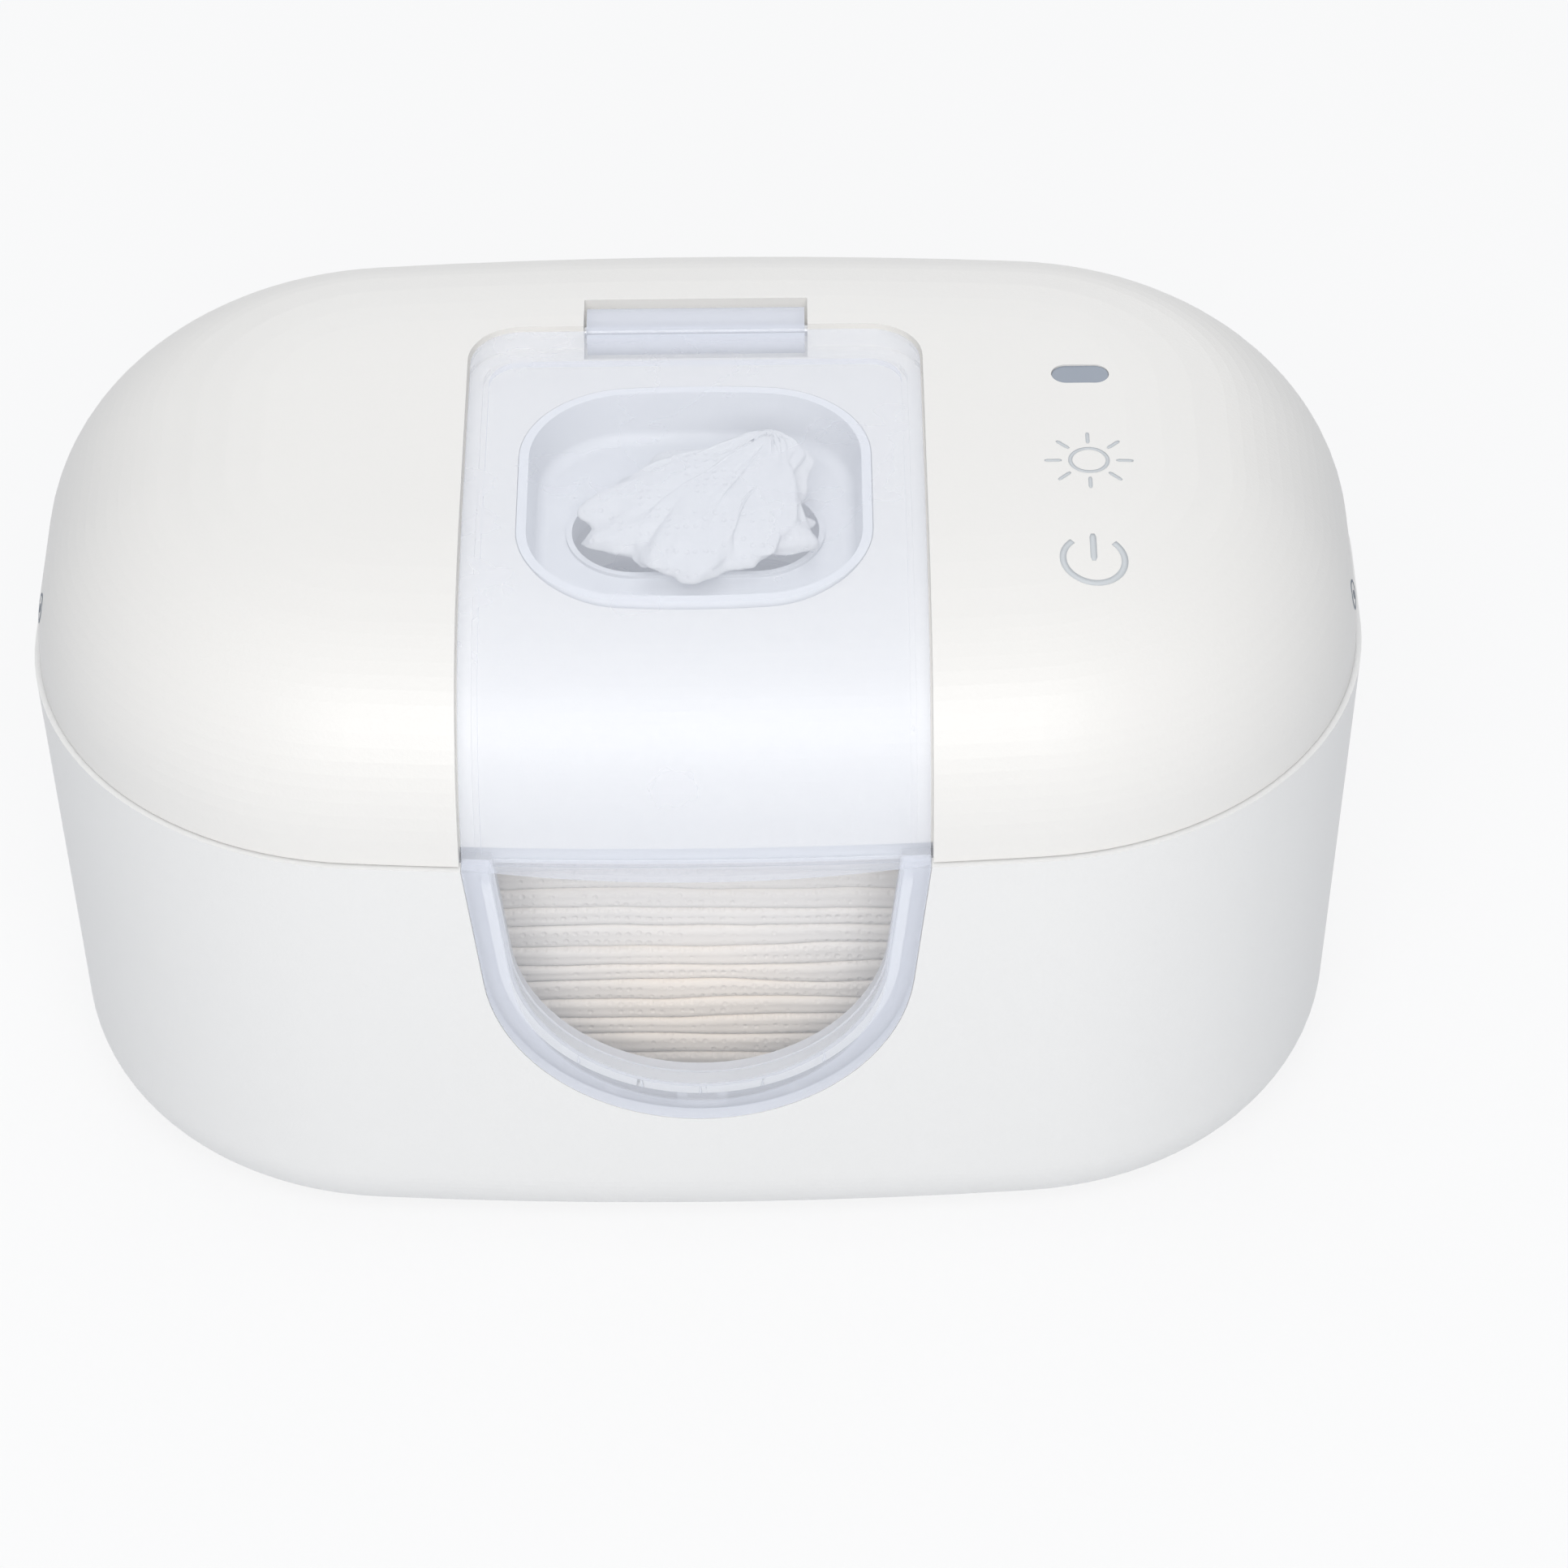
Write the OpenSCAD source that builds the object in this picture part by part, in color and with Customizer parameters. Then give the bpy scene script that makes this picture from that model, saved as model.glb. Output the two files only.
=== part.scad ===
// Baby wipe warmer: an oval tub of wet wipes, warmed from above by its lift-off lid.
// Lengths are in millimetres and angles in degrees. X runs to the right, Y to the rear, Z up.
// The origin is on the ground below the middle of the body.

/* [Body outline] */
// Overall width
body_w = 228.6; // [220:0.1:240]
// Overall depth of the body, without the flap's lip
body_d = 146; // [140:0.5:152]
// Overall height
body_h = 127; // [122:0.5:134]
// Radius of the four corners, seen from above
corner_r = 61.2; // [60:0.1:63]

/* [Base] */
// Height of the lid above the base's rim
lid_h = 37; // [34:0.5:41]
// Wall of the base shell
base_wall = 2.5; // [2:0.1:2.8]
// Lean of the base's sides
base_lean = 2.6; // [1.6:0.1:3.4]
// Rounding along the base's bottom edge
base_round = 16; // [12:0.5:18]
// Height that the rubber feet stand out below the base
foot_h = 1.2; // [0.8:0.1:2.4]
// Radius of a rubber foot
foot_r = 7; // [5:0.5:8]
// Distance of the feet to the left and right of the middle
foot_x = 78; // [66:1:79]
// Distance of the feet to the front and rear of the middle
foot_y = 31; // [20:1:32]

/* [Window] */
// Radius of the window's round lower edge
window_r = 36.2; // [32:0.1:38]
// Lean of the window's sides
window_lean = 6; // [3:0.5:8]
// Depth of the window below the rim
window_drop = 58.6; // [54:0.2:64]
// Distance that the tub's own cut-out stays inside the window
window_lap = 4.2; // [3.6:0.1:5]
// Width of the pane's hidden flange
pane_flange = 3.5; // [2.5:0.1:4]
// Thickness of the pane's hidden flange
pane_flange_t = 1.6; // [1.2:0.1:1.8]

/* [Tub] */
// Distance from the base's outline to the tub
tub_inset = 7.8; // [7.6:0.1:8.4]
// Wall of the tub
tub_wall = 2; // [1.6:0.1:2.2]
// Distance of the tub's top edge below the rim
tub_top_drop = 4.2; // [3.8:0.1:5.4]
// Height of the tub's underside
tub_foot_z = 9; // [8:0.5:12]
// Rounding inside the foot of the tub
tub_round = 12; // [8:0.5:14]
// Distance from the body's ends to the stack of wipes
stack_end_inset = 24.3; // [23.3:0.1:34.3]
// Distance from the body's front and rear to the stack
stack_side_inset = 22; // [21:0.1:29]
// Distance of the stack's top below the rim
stack_top_drop = 10; // [9:1:50]
// Number of folded wipes that show in the stack
stack_layers = 16; // [8:1:24]

/* [Lid] */
// Wall of the lid's dome
lid_wall = 2.4; // [2:0.1:2.6]
// Distance that the lid's edge steps in from the base's rim
rim_step = 1; // [0.6:0.1:1.4]
// Gap between the base's rim and the lid's edge
seam_gap = 0.3; // [0.2:0.05:0.4]
// Height of the straight band along the lid's edge
band_h = 4.9; // [4:0.1:6]
// Lean of that band
band_lean = 2; // [1:0.5:4]
// Direction in which the shoulder hands over to the crown
shoulder_end = 74; // [72:0.5:76]
// Radius of the crown
crown_r = 85; // [78:1:90]

/* [Flap] */
// Width of the flap
flap_w = 77.4; // [72:0.2:80]
// Thickness of the flap
flap_t = 2; // [1.6:0.1:2.4]
// Distance from the body's middle to the flap's rear edge
flap_rear_y = 27.4; // [25:0.2:29]
// Corner radius at the flap's rear edge
flap_corner_r = 9; // [6:0.5:12]
// Gap around the flap
flap_gap = 0.45; // [0.3:0.05:0.7]
// Gap behind the flap's rear edge
flap_rear_gap = 1; // [0.9:0.05:1.4]
// Distance that the flap lies below the dome
flap_sink = 0.4; // [0.2:0.1:0.6]
// Depth of the channel under the flap
channel_depth = 5; // [4.6:0.1:5.6]
// Height of the rib under the flap
flap_rib_h = 1.2; // [0.8:0.1:1.4]
// Width of that rib
flap_rib_w = 1; // [0.8:0.1:1.4]
// Distance from the flap's sides to the rib
flap_rib_side = 2.2; // [1.5:0.1:3]
// Distance from the flap's rear edge to the rib
flap_rib_rear = 5; // [4:0.1:6]
// Thickness of the finger lip
lip_t = 1.3; // [1:0.1:1.6]
// Reach of the finger lip beyond the body's front
lip_reach = 2.5; // [1.5:0.1:3]
// Radius of the finger lip's front edge
lip_r = 204; // [170:2:240]

/* [Flap hinge] */
// Radius of the flap's hinge knuckle
knuckle_r = 4; // [3.4:0.1:4.2]
// Half the width of the knuckle
knuckle_half_w = 18.9; // [14:0.1:20]
// Radius of the hinge pin
pin_r = 1; // [0.8:0.05:1.2]
// Distance from the flap's rear edge to the hinge pin
pin_back = 5; // [4.9:0.1:5.4]
// Clearance around the turning knuckle
pocket_gap = 0.5; // [0.4:0.05:0.6]

/* [Dispensing well] */
// Half the width of the well at its rim
well_half_w = 28.3; // [26:0.1:30]
// Half the depth of the well at its rim
well_half_d = 27.7; // [26:0.1:29]
// Radius of the well's corners, seen from above
well_corner_r = 19; // [17:0.5:21]
// Wall of the well
well_wall = 1.6; // [1.2:0.1:1.8]
// Depth of the well below the channel
well_depth = 9; // [8:0.2:10]
// Lean of the well's sides
well_lean = 9; // [6:0.5:12]
// Distance of the well in front of the body's middle
well_forward = 12; // [10:0.5:14]
// Half the length of the dispensing slot
slot_half_l = 21; // [19:0.2:22]
// Radius of the slot's round ends
slot_r = 11; // [9.6:0.2:12]

/* [Heater] */
// Distance from the body's outline to the heater plate
heater_inset = 24; // [23.4:0.2:28]
// Thickness of the heater plate
heater_t = 1.4; // [1:0.1:1.8]
// Height of the plate that closes the lid from below, above the rim
liner_rise = 7; // [6.6:0.1:8]
// Thickness of that plate
liner_t = 2; // [1.6:0.1:2.2]
// Space between the liner and the heater plate
heater_gap = 3; // [2.6:0.1:3.4]
// Distance that the opening in the heater stays clear of the throat
heater_hole_clear = 6; // [4:0.5:8]
// Distance from the body's outline to the liner's skirt
skirt_inset = 11.2; // [11:0.1:11.8]
// Wall of the skirt
skirt_t = 2; // [1.5:0.1:2.2]
// Distance of the skirt's lower edge below the rim
skirt_drop = 7.4; // [6:0.1:7.8]

/* [Controls] */
// Distance of the controls to the right of the middle
control_x = 66; // [62:0.5:68]
// Place of the indicator light, to the rear of the middle
indicator_y = 13.3; // [11:0.1:16]
// Place of the night light's touch key
light_key_y = -10.8; // [-13:0.2:-8]
// Place of the power touch key
power_key_y = -35.6; // [-37:0.2:-33]
// Radius of a touch key's contact pad
key_pad_r = 5; // [4:0.2:5.6]
// Length of the indicator's window
indicator_l = 9.7; // [8:0.1:11]
// Width of the indicator's window
indicator_w = 5; // [4:0.1:5.6]
// Thickness of the circuit boards
board_t = 1.6; // [1.2:0.1:2]
// Distance of the touch board's underside below the lid's top
touch_board_drop = 15; // [14:0.5:16]

/* [Power inlet] */
// Place of the inlet, measured from the middle
inlet_x = -30; // [-33:0.5:-28]
// Height of the inlet's axis above the rim
inlet_rise = 13; // [12.8:0.1:13.4]
// Radius of the inlet's barrel
inlet_barrel_r = 3.9; // [3.6:0.1:4]
// Radius of the inlet's bore
inlet_bore_r = 2.85; // [2.6:0.05:3]
// Radius of the inlet's centre pin
inlet_pin_r = 1.05; // [0.8:0.05:1.2]

/* [Lid catches] */
// Half the width of a catch's sliding plate
catch_half_w = 9; // [8:0.1:9.2]
// Distance that a catch is pressed inwards
catch_travel = 1.4; // [1.2:0.05:1.4]
// Overlap of the catch's nose under the rim's ledge
catch_hold = 1; // [0.8:0.05:1]
// Mean radius of the catch's spring
spring_r = 2.4; // [2:0.1:2.8]
// Radius of the spring's wire
spring_wire_r = 0.35; // [0.25:0.05:0.4]
// Number of turns in the spring
spring_turns = 5; // [4:1:6]

/* [Hidden] */
$fn = 96;

shell_white = [0.96, 0.965, 0.96];
base_white = [0.93, 0.945, 0.965];
milky = [0.87, 0.91, 0.98, 0.6];
frosted = [0.85, 0.87, 0.9, 0.75];
silicone = [0.8, 0.83, 0.87];
wipe_white = [0.97, 0.97, 0.98];
stack_beige = [0.87, 0.85, 0.82];
steel = [0.72, 0.73, 0.75];

far = 1000;
touch = 0.02;
slide_gap = 0.03;

// Half the turn of each long side. Its sine and cosine have few digits, so all the pieces of an oval
// meet exactly.
side_cos = 0.07584;
side_turn = acos(side_cos);
body = oval(body_w / 2, body_d / 2, corner_r);
side_r = body[2];
seam_z = body_h - lid_h;
floor_z = foot_h + base_wall;
tub_top_z = seam_z - tub_top_drop;
stack_top_z = seam_z - stack_top_drop;
stack_half_w = body_w / 2 - stack_end_inset;
stack_half_d = body_d / 2 - stack_side_inset;
lid_z = seam_z + seam_gap;
liner_z = seam_z + liner_rise;
liner_top_z = liner_z + liner_t;
skirt_z = seam_z - skirt_drop;
touch_board_z = body_h - touch_board_drop;
inlet_z = seam_z + inlet_rise;

shoulder_r = (
    (body_h - lid_z - band_h - crown_r * (1 - sin(shoulder_end))) / (sin(shoulder_end) - sin(band_lean))
);
crown_inset = (
    rim_step + band_h * tan(band_lean) + shoulder_r * cos(band_lean)
    + (crown_r - shoulder_r) * cos(shoulder_end)
);
crown_centre = [-crown_inset, body_h - crown_r];
shoulder_centre = crown_centre + (crown_r - shoulder_r) * [cos(shoulder_end), sin(shoulder_end)];

channel_z = body_h - channel_depth;
channel_under_z = channel_z - lid_wall;
pin_y = flap_rear_y + pin_back;
pin_z = body_h - flap_sink - knuckle_r;
pocket_half_w = knuckle_half_w + pocket_gap;
pocket_rear_y = pin_y + knuckle_r + pocket_gap;
pocket_z = pin_z - knuckle_r - pocket_gap;

well = oval(well_half_w + well_wall, well_half_d + well_wall, well_corner_r);
well_floor_z = channel_z - well_depth;
well_under_z = well_floor_z - well_wall;
seal_t = 1;
throat_wall = 2.2;
throat_top_z = well_under_z - 2;

heater_top_z = liner_z - heater_gap;
film_t = 0.4;
pad_clear = 0.1;

tub = oval_inset(body, tub_inset);
tub_ledge_z = tub_top_z - 2.1;
tub_ledge_t = 2.2;
tub_flange_inset = base_wall + 0.8;

function polar(r, angle) = r * [cos(angle), sin(angle)];
function hundredth(size) = round(size * 100) / 100;

// An oval is [half width, half depth, side radius, corner radius]. Its long sides are flat arcs, its
// corners are rounder arcs and its ends are straight, and they run into each other without a kink.
function oval(half_w, half_d, corner) = [half_w, half_d, hundredth(corner + (half_w - corner) / side_cos), corner];
function oval_inset(oval, t) = [for (size = oval) size - t];

// Frames for the first quarter: the side's centre, the corner's centre, and that centre turned level
module side_frame(oval) {
    translate([0, oval[1] - oval[2]]) rotate(side_turn) children();
}

module corner_frame(oval) {
    side_frame(oval) translate([oval[2] - oval[3], 0]) children();
}

module end_frame(oval) {
    corner_frame(oval) rotate(-side_turn) children();
}

module all_quarters() {
    for (mx = [0, 1], my = [0, 1]) mirror([mx, 0, 0]) mirror([0, my, 0]) children();
}

module upper_half_2d() translate([-far, 0]) square([2 * far, far]);
module lower_half_2d() translate([-far, -far]) square([2 * far, far]);
module right_half_2d() translate([0, -far]) square([far, 2 * far]);

module quarter_2d(oval, t) {
    intersection() {
        side_frame(oval) intersection() {
            circle(oval[2] - t);
            upper_half_2d();
        }
        square(far);
    }
    intersection() {
        corner_frame(oval) intersection() {
            circle(oval[3] - t);
            lower_half_2d();
        }
        end_frame(oval) upper_half_2d();
    }
    intersection() {
        end_frame(oval) translate([-far, -far]) square([far + oval[3] - t, far]);
        square(far);
    }
}

module oval_2d(oval, t = 0) {
    all_quarters() quarter_2d(oval, t);
}

module oval_ring(oval, t0, t1, z0, z1) {
    translate([0, 0, z0]) linear_extrude(z1 - z0) difference() {
        oval_2d(oval, t0);
        oval_2d(oval, t1);
    }
}

module half_space() translate([-far, 0, -far]) cube(2 * far);
module other_half_space() translate([-far, -2 * far, -far]) cube(2 * far);

// Carries a profile along one part of the oval. The profile's zero is on the outline, and it lies at
// negative x. Each piece runs a little too far and is cut by planes that it shares with its neighbour.
overrun = 90 - side_turn;

module rear_sector(oval) {
    intersection() {
        side_frame(oval) rotate(-overrun) rotate_extrude(angle = 180 - 2 * side_turn + 2 * overrun)
            translate([oval[2], 0]) children();
        side_frame(oval) half_space();
        mirror([1, 0, 0]) side_frame(oval) half_space();
    }
}

module corner_sector(oval) {
    intersection() {
        end_frame(oval) rotate(-overrun) rotate_extrude(angle = side_turn + 2 * overrun)
            translate([oval[3], 0]) children();
        end_frame(oval) half_space();
        corner_frame(oval) other_half_space();
    }
}

module end_sector(oval) {
    intersection() {
        end_frame(oval) translate([oval[3], overrun, 0]) rotate([90, 0, 0])
            linear_extrude(2 * oval[1]) children();
        end_frame(oval) other_half_space();
        mirror([0, 1, 0]) end_frame(oval) other_half_space();
    }
}

module oval_sweep(oval) {
    for (side = [0, 1]) mirror([0, side, 0]) rear_sector(oval) children();
    all_quarters() corner_sector(oval) children();
    for (side = [0, 1]) mirror([side, 0, 0]) end_sector(oval) children();
}

// Carries a profile along the middle of the body's front side only
module front_sweep() {
    translate([0, side_r - body_d / 2]) rotate(180 + side_turn) rotate_extrude(angle = 2 * (90 - side_turn))
        translate([side_r, 0]) children();
}

// Points along an arc, close enough for the chords to stay within a few hundredths of a millimetre
arc_step = 4.5;
function arc(centre, r, from, to, first = 0) =
    let (steps = ceil(abs(to - from) / arc_step))
    [for (i = [first : steps]) centre + polar(r, from + (to - from) * i / steps)];
function backwards(points) = [for (i = [len(points) - 1 : -1 : 0]) points[i]];

// A cup's side leans in from its top edge and turns into its floor with a rounding.
function cup_centre(top_z, foot_z, lean, round_r) = [
    -hundredth(round_r / cos(lean) + (top_z - foot_z - round_r) * tan(lean)),
    foot_z + round_r
];

function cup_curve(top_z, foot_z, lean, round_r, t, floor_strip) =
    let (centre = cup_centre(top_z, foot_z, lean, round_r), start = polar(round_r - t, -lean))
    concat(
        [[centre[0] + start[0] + (top_z - centre[1] - start[1]) * tan(lean), top_z]],
        arc(centre, round_r - t, -lean, -90),
        floor_strip > 0 ? [[centre[0] - floor_strip, foot_z + t]] : []
    );

module cup_side_2d(top_z, foot_z, lean, round_r, t0, t1, floor_strip = 0) {
    polygon(concat(
        cup_curve(top_z, foot_z, lean, round_r, t0, floor_strip),
        backwards(cup_curve(top_z, foot_z, lean, round_r, t1, floor_strip))
    ));
}

// A plain plate that fills the middle of a sweep and laps the sweep's inner strip
module middle_plate(oval, inset, z0, z1) {
    lap = 2.5;
    upright(z0, z1) square([2 * (oval[0] - inset + lap), 2 * (oval[1] - inset + lap)], center = true);
}

module cup(oval, top_z, foot_z, lean, round_r, wall, floor_strip = 20) {
    oval_sweep(oval) cup_side_2d(top_z, foot_z, lean, round_r, 0, wall, floor_strip);
    middle_plate(oval, floor_strip - cup_centre(top_z, foot_z, lean, round_r)[0], foot_z, foot_z + wall);
}

// The dome's profile at a given depth: a leaning band, a shoulder, the crown and its flat middle
function lid_curve(t, top_strip) = concat(
    [[-rim_step - t / cos(band_lean), lid_z]],
    arc(shoulder_centre, shoulder_r - t, band_lean, shoulder_end),
    arc(crown_centre, crown_r - t, shoulder_end, 90, 1),
    top_strip > 0 ? [[-crown_inset - top_strip, body_h - t]] : []
);

module lid_layer_2d(t0, t1, top_strip = 0) {
    polygon(concat(lid_curve(t0, top_strip), backwards(lid_curve(t1, top_strip))));
}

module lid_layer(t0, t1) {
    top_strip = 8;
    oval_sweep(body) lid_layer_2d(t0, t1, top_strip);
    middle_plate(body, crown_inset + top_strip, body_h - t1, body_h - t0);
}

// The same layer along the lid's middle strip, from its front edge to its rear edge
module strip_layer(t0, t1) {
    for (side = [0, 1]) mirror([0, side, 0]) intersection() {
        front_sweep() lid_layer_2d(t0, t1, body_d / 2 - crown_inset + 2);
        other_half_space();
    }
}

module corner_layer(t0, t1) {
    all_quarters() corner_sector(body) lid_layer_2d(t0, t1);
}

module upright(z0 = 0, z1 = far) {
    translate([0, 0, z0]) linear_extrude(z1 - z0) children();
}

// Draws a shape of the front view and pushes it through the front half of the body
module front_prism() {
    translate([0, -20, 0]) rotate([90, 0, 0]) linear_extrude(far) children();
}

// The window's outline: a round bottom whose sides lean out towards the rim
module window_2d(grow = 0) {
    r = window_r + grow;
    translate([0, seam_z - window_drop + window_r]) for (side = [0, 1]) mirror([side, 0]) {
        intersection() {
            rotate(-window_lean) intersection() {
                circle(r);
                lower_half_2d();
            }
            right_half_2d();
        }
        intersection() {
            rotate(-window_lean) translate([-far, 0]) square([far + r, far]);
            right_half_2d();
        }
    }
}

module stadium_2d(half_l, r) {
    for (side = [-1, 1]) translate([side * (half_l - r), 0]) circle(r);
    square([2 * (half_l - r), 2 * r], center = true);
}

module slot_2d(grow) {
    translate([0, -well_forward]) stadium_2d(slot_half_l + grow, slot_r + grow);
}

// The strip of the lid that the flap covers, from the front to its round rear corners
module strip_2d(grow, rear_grow = undef) {
    half_w = flap_w / 2 + grow;
    rear = flap_rear_y + (rear_grow == undef ? grow : rear_grow);
    r = flap_corner_r + grow;
    translate([-half_w, -far]) square([2 * half_w, far + rear - r]);
    translate([-half_w + r, 0]) square([2 * (half_w - r), rear]);
    for (side = [-1, 1]) translate([side * (half_w - r), rear - r]) circle(r);
}

module at_four(x, y) {
    for (sx = [-1, 1], sy = [-1, 1]) translate([sx * x, sy * y, 0]) children();
}

module rod_x(r, x0, x1, y, z) {
    translate([x0, y, z]) rotate([0, 90, 0]) cylinder(r = r, h = x1 - x0);
}

module rod_y(r, y0, y1, x, z) {
    translate([x, y1, z]) rotate([90, 0, 0]) cylinder(r = r, h = y1 - y0);
}

module block(x0, x1, y0, y1, z0, z1) {
    translate([x0, y0, z0]) cube([x1 - x0, y1 - y0, z1 - z0]);
}

// A pan-headed screw that points up, with its head's underside at the origin
module screw(head_r, head_h, shank_r, shank_l, drive_r) {
    difference() {
        union() {
            translate([0, 0, -head_h]) cylinder(r = head_r, h = head_h);
            cylinder(r = shank_r, h = shank_l);
        }
        translate([0, 0, -head_h - 1]) for (turn = [0, 90]) rotate(turn)
            translate([-drive_r, -drive_r / 4, 0]) cube([2 * drive_r, drive_r / 2, 1 + head_h * 0.6]);
    }
}

// Base: the white shell with its window cut-out
screw_r = 1.5;
screw_head_r = 3;
screw_head_h = 1.2;
boss_r = 4;
tub_screw_x = body_w / 2 - 64.3;
tub_screw_y = body_d / 2 - 39;
head_recess = 1.4;
catch_nose_inset = base_wall + 0.6;
ledge_half_w = catch_half_w + 0.5;
ledge_inset = catch_nose_inset + catch_hold;
catch_ledge_z = seam_z - 3;
catch_ledge_t = 1.8;
catch_arm_inset = ledge_inset + 0.3;
catch_arm_t = 1.6;

module window_zone(grow) {
    front_prism() window_2d(grow);
}

module base_shell() color(base_white) difference() {
    union() {
        cup(body, seam_z, foot_h, base_lean, base_round, base_wall);
        tub_ledge();
        catch_ledges();
    }
    window_zone(0.15);
    at_four(tub_screw_x, tub_screw_y) {
        cylinder(r = screw_r + 0.2, h = far, center = true);
        translate([0, 0, foot_h - 1]) cylinder(r = screw_head_r + 0.3, h = 1 + head_recess);
    }
    at_four(foot_x, foot_y) cylinder(r = foot_r + 0.1, h = foot_h + 1);
}

module tub_ledge() {
    difference() {
        oval_ring(body, base_wall * 0.6, base_wall + 3.3, tub_ledge_z - tub_ledge_t, tub_ledge_z);
        window_zone(pane_flange + 0.2);
        block(-far, far, -ledge_half_w - 1, ledge_half_w + 1, 0, far);
    }
}

module catch_ledges() {
    intersection() {
        oval_ring(body, base_wall * 0.6, ledge_inset, catch_ledge_z, catch_ledge_z + catch_ledge_t);
        block(-far, far, -ledge_half_w, ledge_half_w, 0, far);
    }
}

module front_layer(t0, t1) {
    front_sweep() cup_side_2d(seam_z, foot_h, base_lean, base_round, t0, t1);
}

module front_window() color(milky) {
    intersection() {
        front_layer(0, base_wall + pane_flange_t / 2);
        window_zone(0);
    }
    intersection() {
        front_layer(base_wall + slide_gap, base_wall + pane_flange_t);
        window_zone(pane_flange);
        block(-far, far, -far, 0, 0, seam_z - 1.5);
    }
}

gasket_edge = 0.4;
gasket_w = 1.6;

module window_gasket() color(silicone) intersection() {
    front_layer(base_wall + pane_flange_t, tub_inset - 0.2 - slide_gap);
    difference() {
        window_zone(gasket_w + gasket_edge - window_lap);
        window_zone(gasket_edge - window_lap);
    }
    block(-far, far, -far, 0, 0, tub_ledge_z);
}

clip_z = seam_z - window_drop - 4.5;
clip_h = 6.3;
clip_w = 6.8;
clip_reach = 3.8;
locator_x = 16;
locator_r = 1.8;

module inner_tub() color(frosted) {
    difference() {
        union() {
            cup(tub, tub_top_z, tub_foot_z, base_lean, tub_round, tub_wall);
            tub_flange();
            tub_clips();
        }
        window_zone(-window_lap);
    }
    at_four(tub_screw_x, tub_screw_y) difference() {
        translate([0, 0, floor_z]) cylinder(r = boss_r, h = tub_foot_z - floor_z + 0.5);
        cylinder(r = screw_r + touch, h = tub_foot_z + 0.3);
    }
}

module tub_flange() {
    difference() {
        oval_ring(body, tub_flange_inset, tub_inset + tub_wall / 2, tub_ledge_z, tub_top_z);
        window_zone(pane_flange + 0.3);
        difference() {
            block(-far, far, -ledge_half_w - 1, ledge_half_w + 1, 0, far);
            upright() oval_2d(body, tub_inset);
        }
    }
}

// The clip and the two locating pegs that show through the pane's frosted band
module tub_clips() {
    face_y = -body_d / 2 + tub_inset + 3.3;
    out_y = face_y - clip_reach;
    for (side = [-1, 1]) {
        rod_y(locator_r, out_y + 0.3, face_y, side * locator_x, clip_z + clip_h / 2);
        block(side * clip_w / 2 - 0.9, side * clip_w / 2 + 0.9, out_y, face_y, clip_z, clip_z + clip_h);
    }
    block(-clip_w / 2, clip_w / 2, out_y, face_y, clip_z + 1, clip_z + 3.6);
}

module tub_screws() color(steel) at_four(tub_screw_x, tub_screw_y)
    translate([0, 0, foot_h + head_recess]) screw(screw_head_r, screw_head_h, screw_r, 6, 1.6);

module rubber_feet() color([0.55, 0.57, 0.6]) at_four(foot_x, foot_y) {
    cylinder(r1 = foot_r - 0.8, r2 = foot_r, h = 0.8);
    translate([0, 0, 0.8]) cylinder(r = foot_r, h = foot_h + 0.2);
}

// Soft goods: the folded stack and the wipe that stands up through the slot
module stack_2d(grow) {
    r = 28 + grow;
    for (sx = [-1, 1], sy = [-1, 1])
        translate([sx * (stack_half_w + grow - r), sy * (stack_half_d + grow - r)]) circle(r);
    square([2 * (stack_half_w + grow), 2 * (stack_half_d + grow - r)], center = true);
    square([2 * (stack_half_w + grow - r), 2 * (stack_half_d + grow)], center = true);
}

// How far the bottom wipe draws in, clear of the tub's rounded floor
stack_foot_draw = 8.5;
// Depth of the groove between two wipes
stack_groove = 2.2;

module wipe_stack() color(stack_beige) {
    foot = tub_foot_z + tub_wall;
    pitch = (stack_top_z - foot) / stack_layers;
    for (i = [0 : stack_layers - 1]) {
        slack = i == 0 ? -stack_foot_draw : -0.5 - 0.5 * sin(i * 97);
        translate([0, 0, foot + i * pitch]) {
            linear_extrude(pitch * 0.8) stack_2d(slack);
            if (i < stack_layers - 1) linear_extrude(pitch) stack_2d(min(slack, -stack_groove));
        }
    }
}

// Height, half width, half depth, middle and fold strength of the wipe, from its tail to its tip
wipe_rows = [
    [stack_top_z + 0.4, 9, 6, 0, 0, 0.06],
    [liner_z - 6, 6.5, 5.5, 0, 0, 0.1],
    [throat_top_z - 2, 6, 5, 0, 0, 0.14],
    [well_floor_z, 8, 6.5, 0, 0, 0.16],
    [well_floor_z + 1.4, 17, 12, 0.5, 0, 0.14],
    [well_floor_z + 2.8, 19.4, 15, 1, -1, 0.1],
    [well_floor_z + 4.6, 19, 14.5, 1, -0.5, 0.12],
    [well_floor_z + 6.4, 16.5, 12, 2.5, 1.5, 0.15],
    [well_floor_z + 7.8, 13, 8.5, 5, 5, 0.18],
    [well_floor_z + 8.8, 9, 5, 9, 9, 0.2],
    [well_floor_z + 9.6, 5, 3, 12, 13, 0.18],
    [well_floor_z + 9.9, 1.5, 1, 13, 15, 0.1]
];
wipe_sides = 36;
wipe_steps = 3;

function wipe_row(u) =
    let (i = min(floor(u), len(wipe_rows) - 2), f = u - i)
    wipe_rows[i] * (1 - f) + wipe_rows[i + 1] * f;

function wipe_point(u, angle) =
    let (
        row = wipe_row(u),
        folds = sin(5 * angle + 40 * u) + 0.55 * sin(11 * angle - 65 * u) + 0.3 * sin(17 * angle + 90 * u),
        swell = 1 + row[5] * folds
    )
    [row[3] + row[1] * swell * cos(angle), row[4] + row[2] * swell * sin(angle) - well_forward, row[0]];

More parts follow.
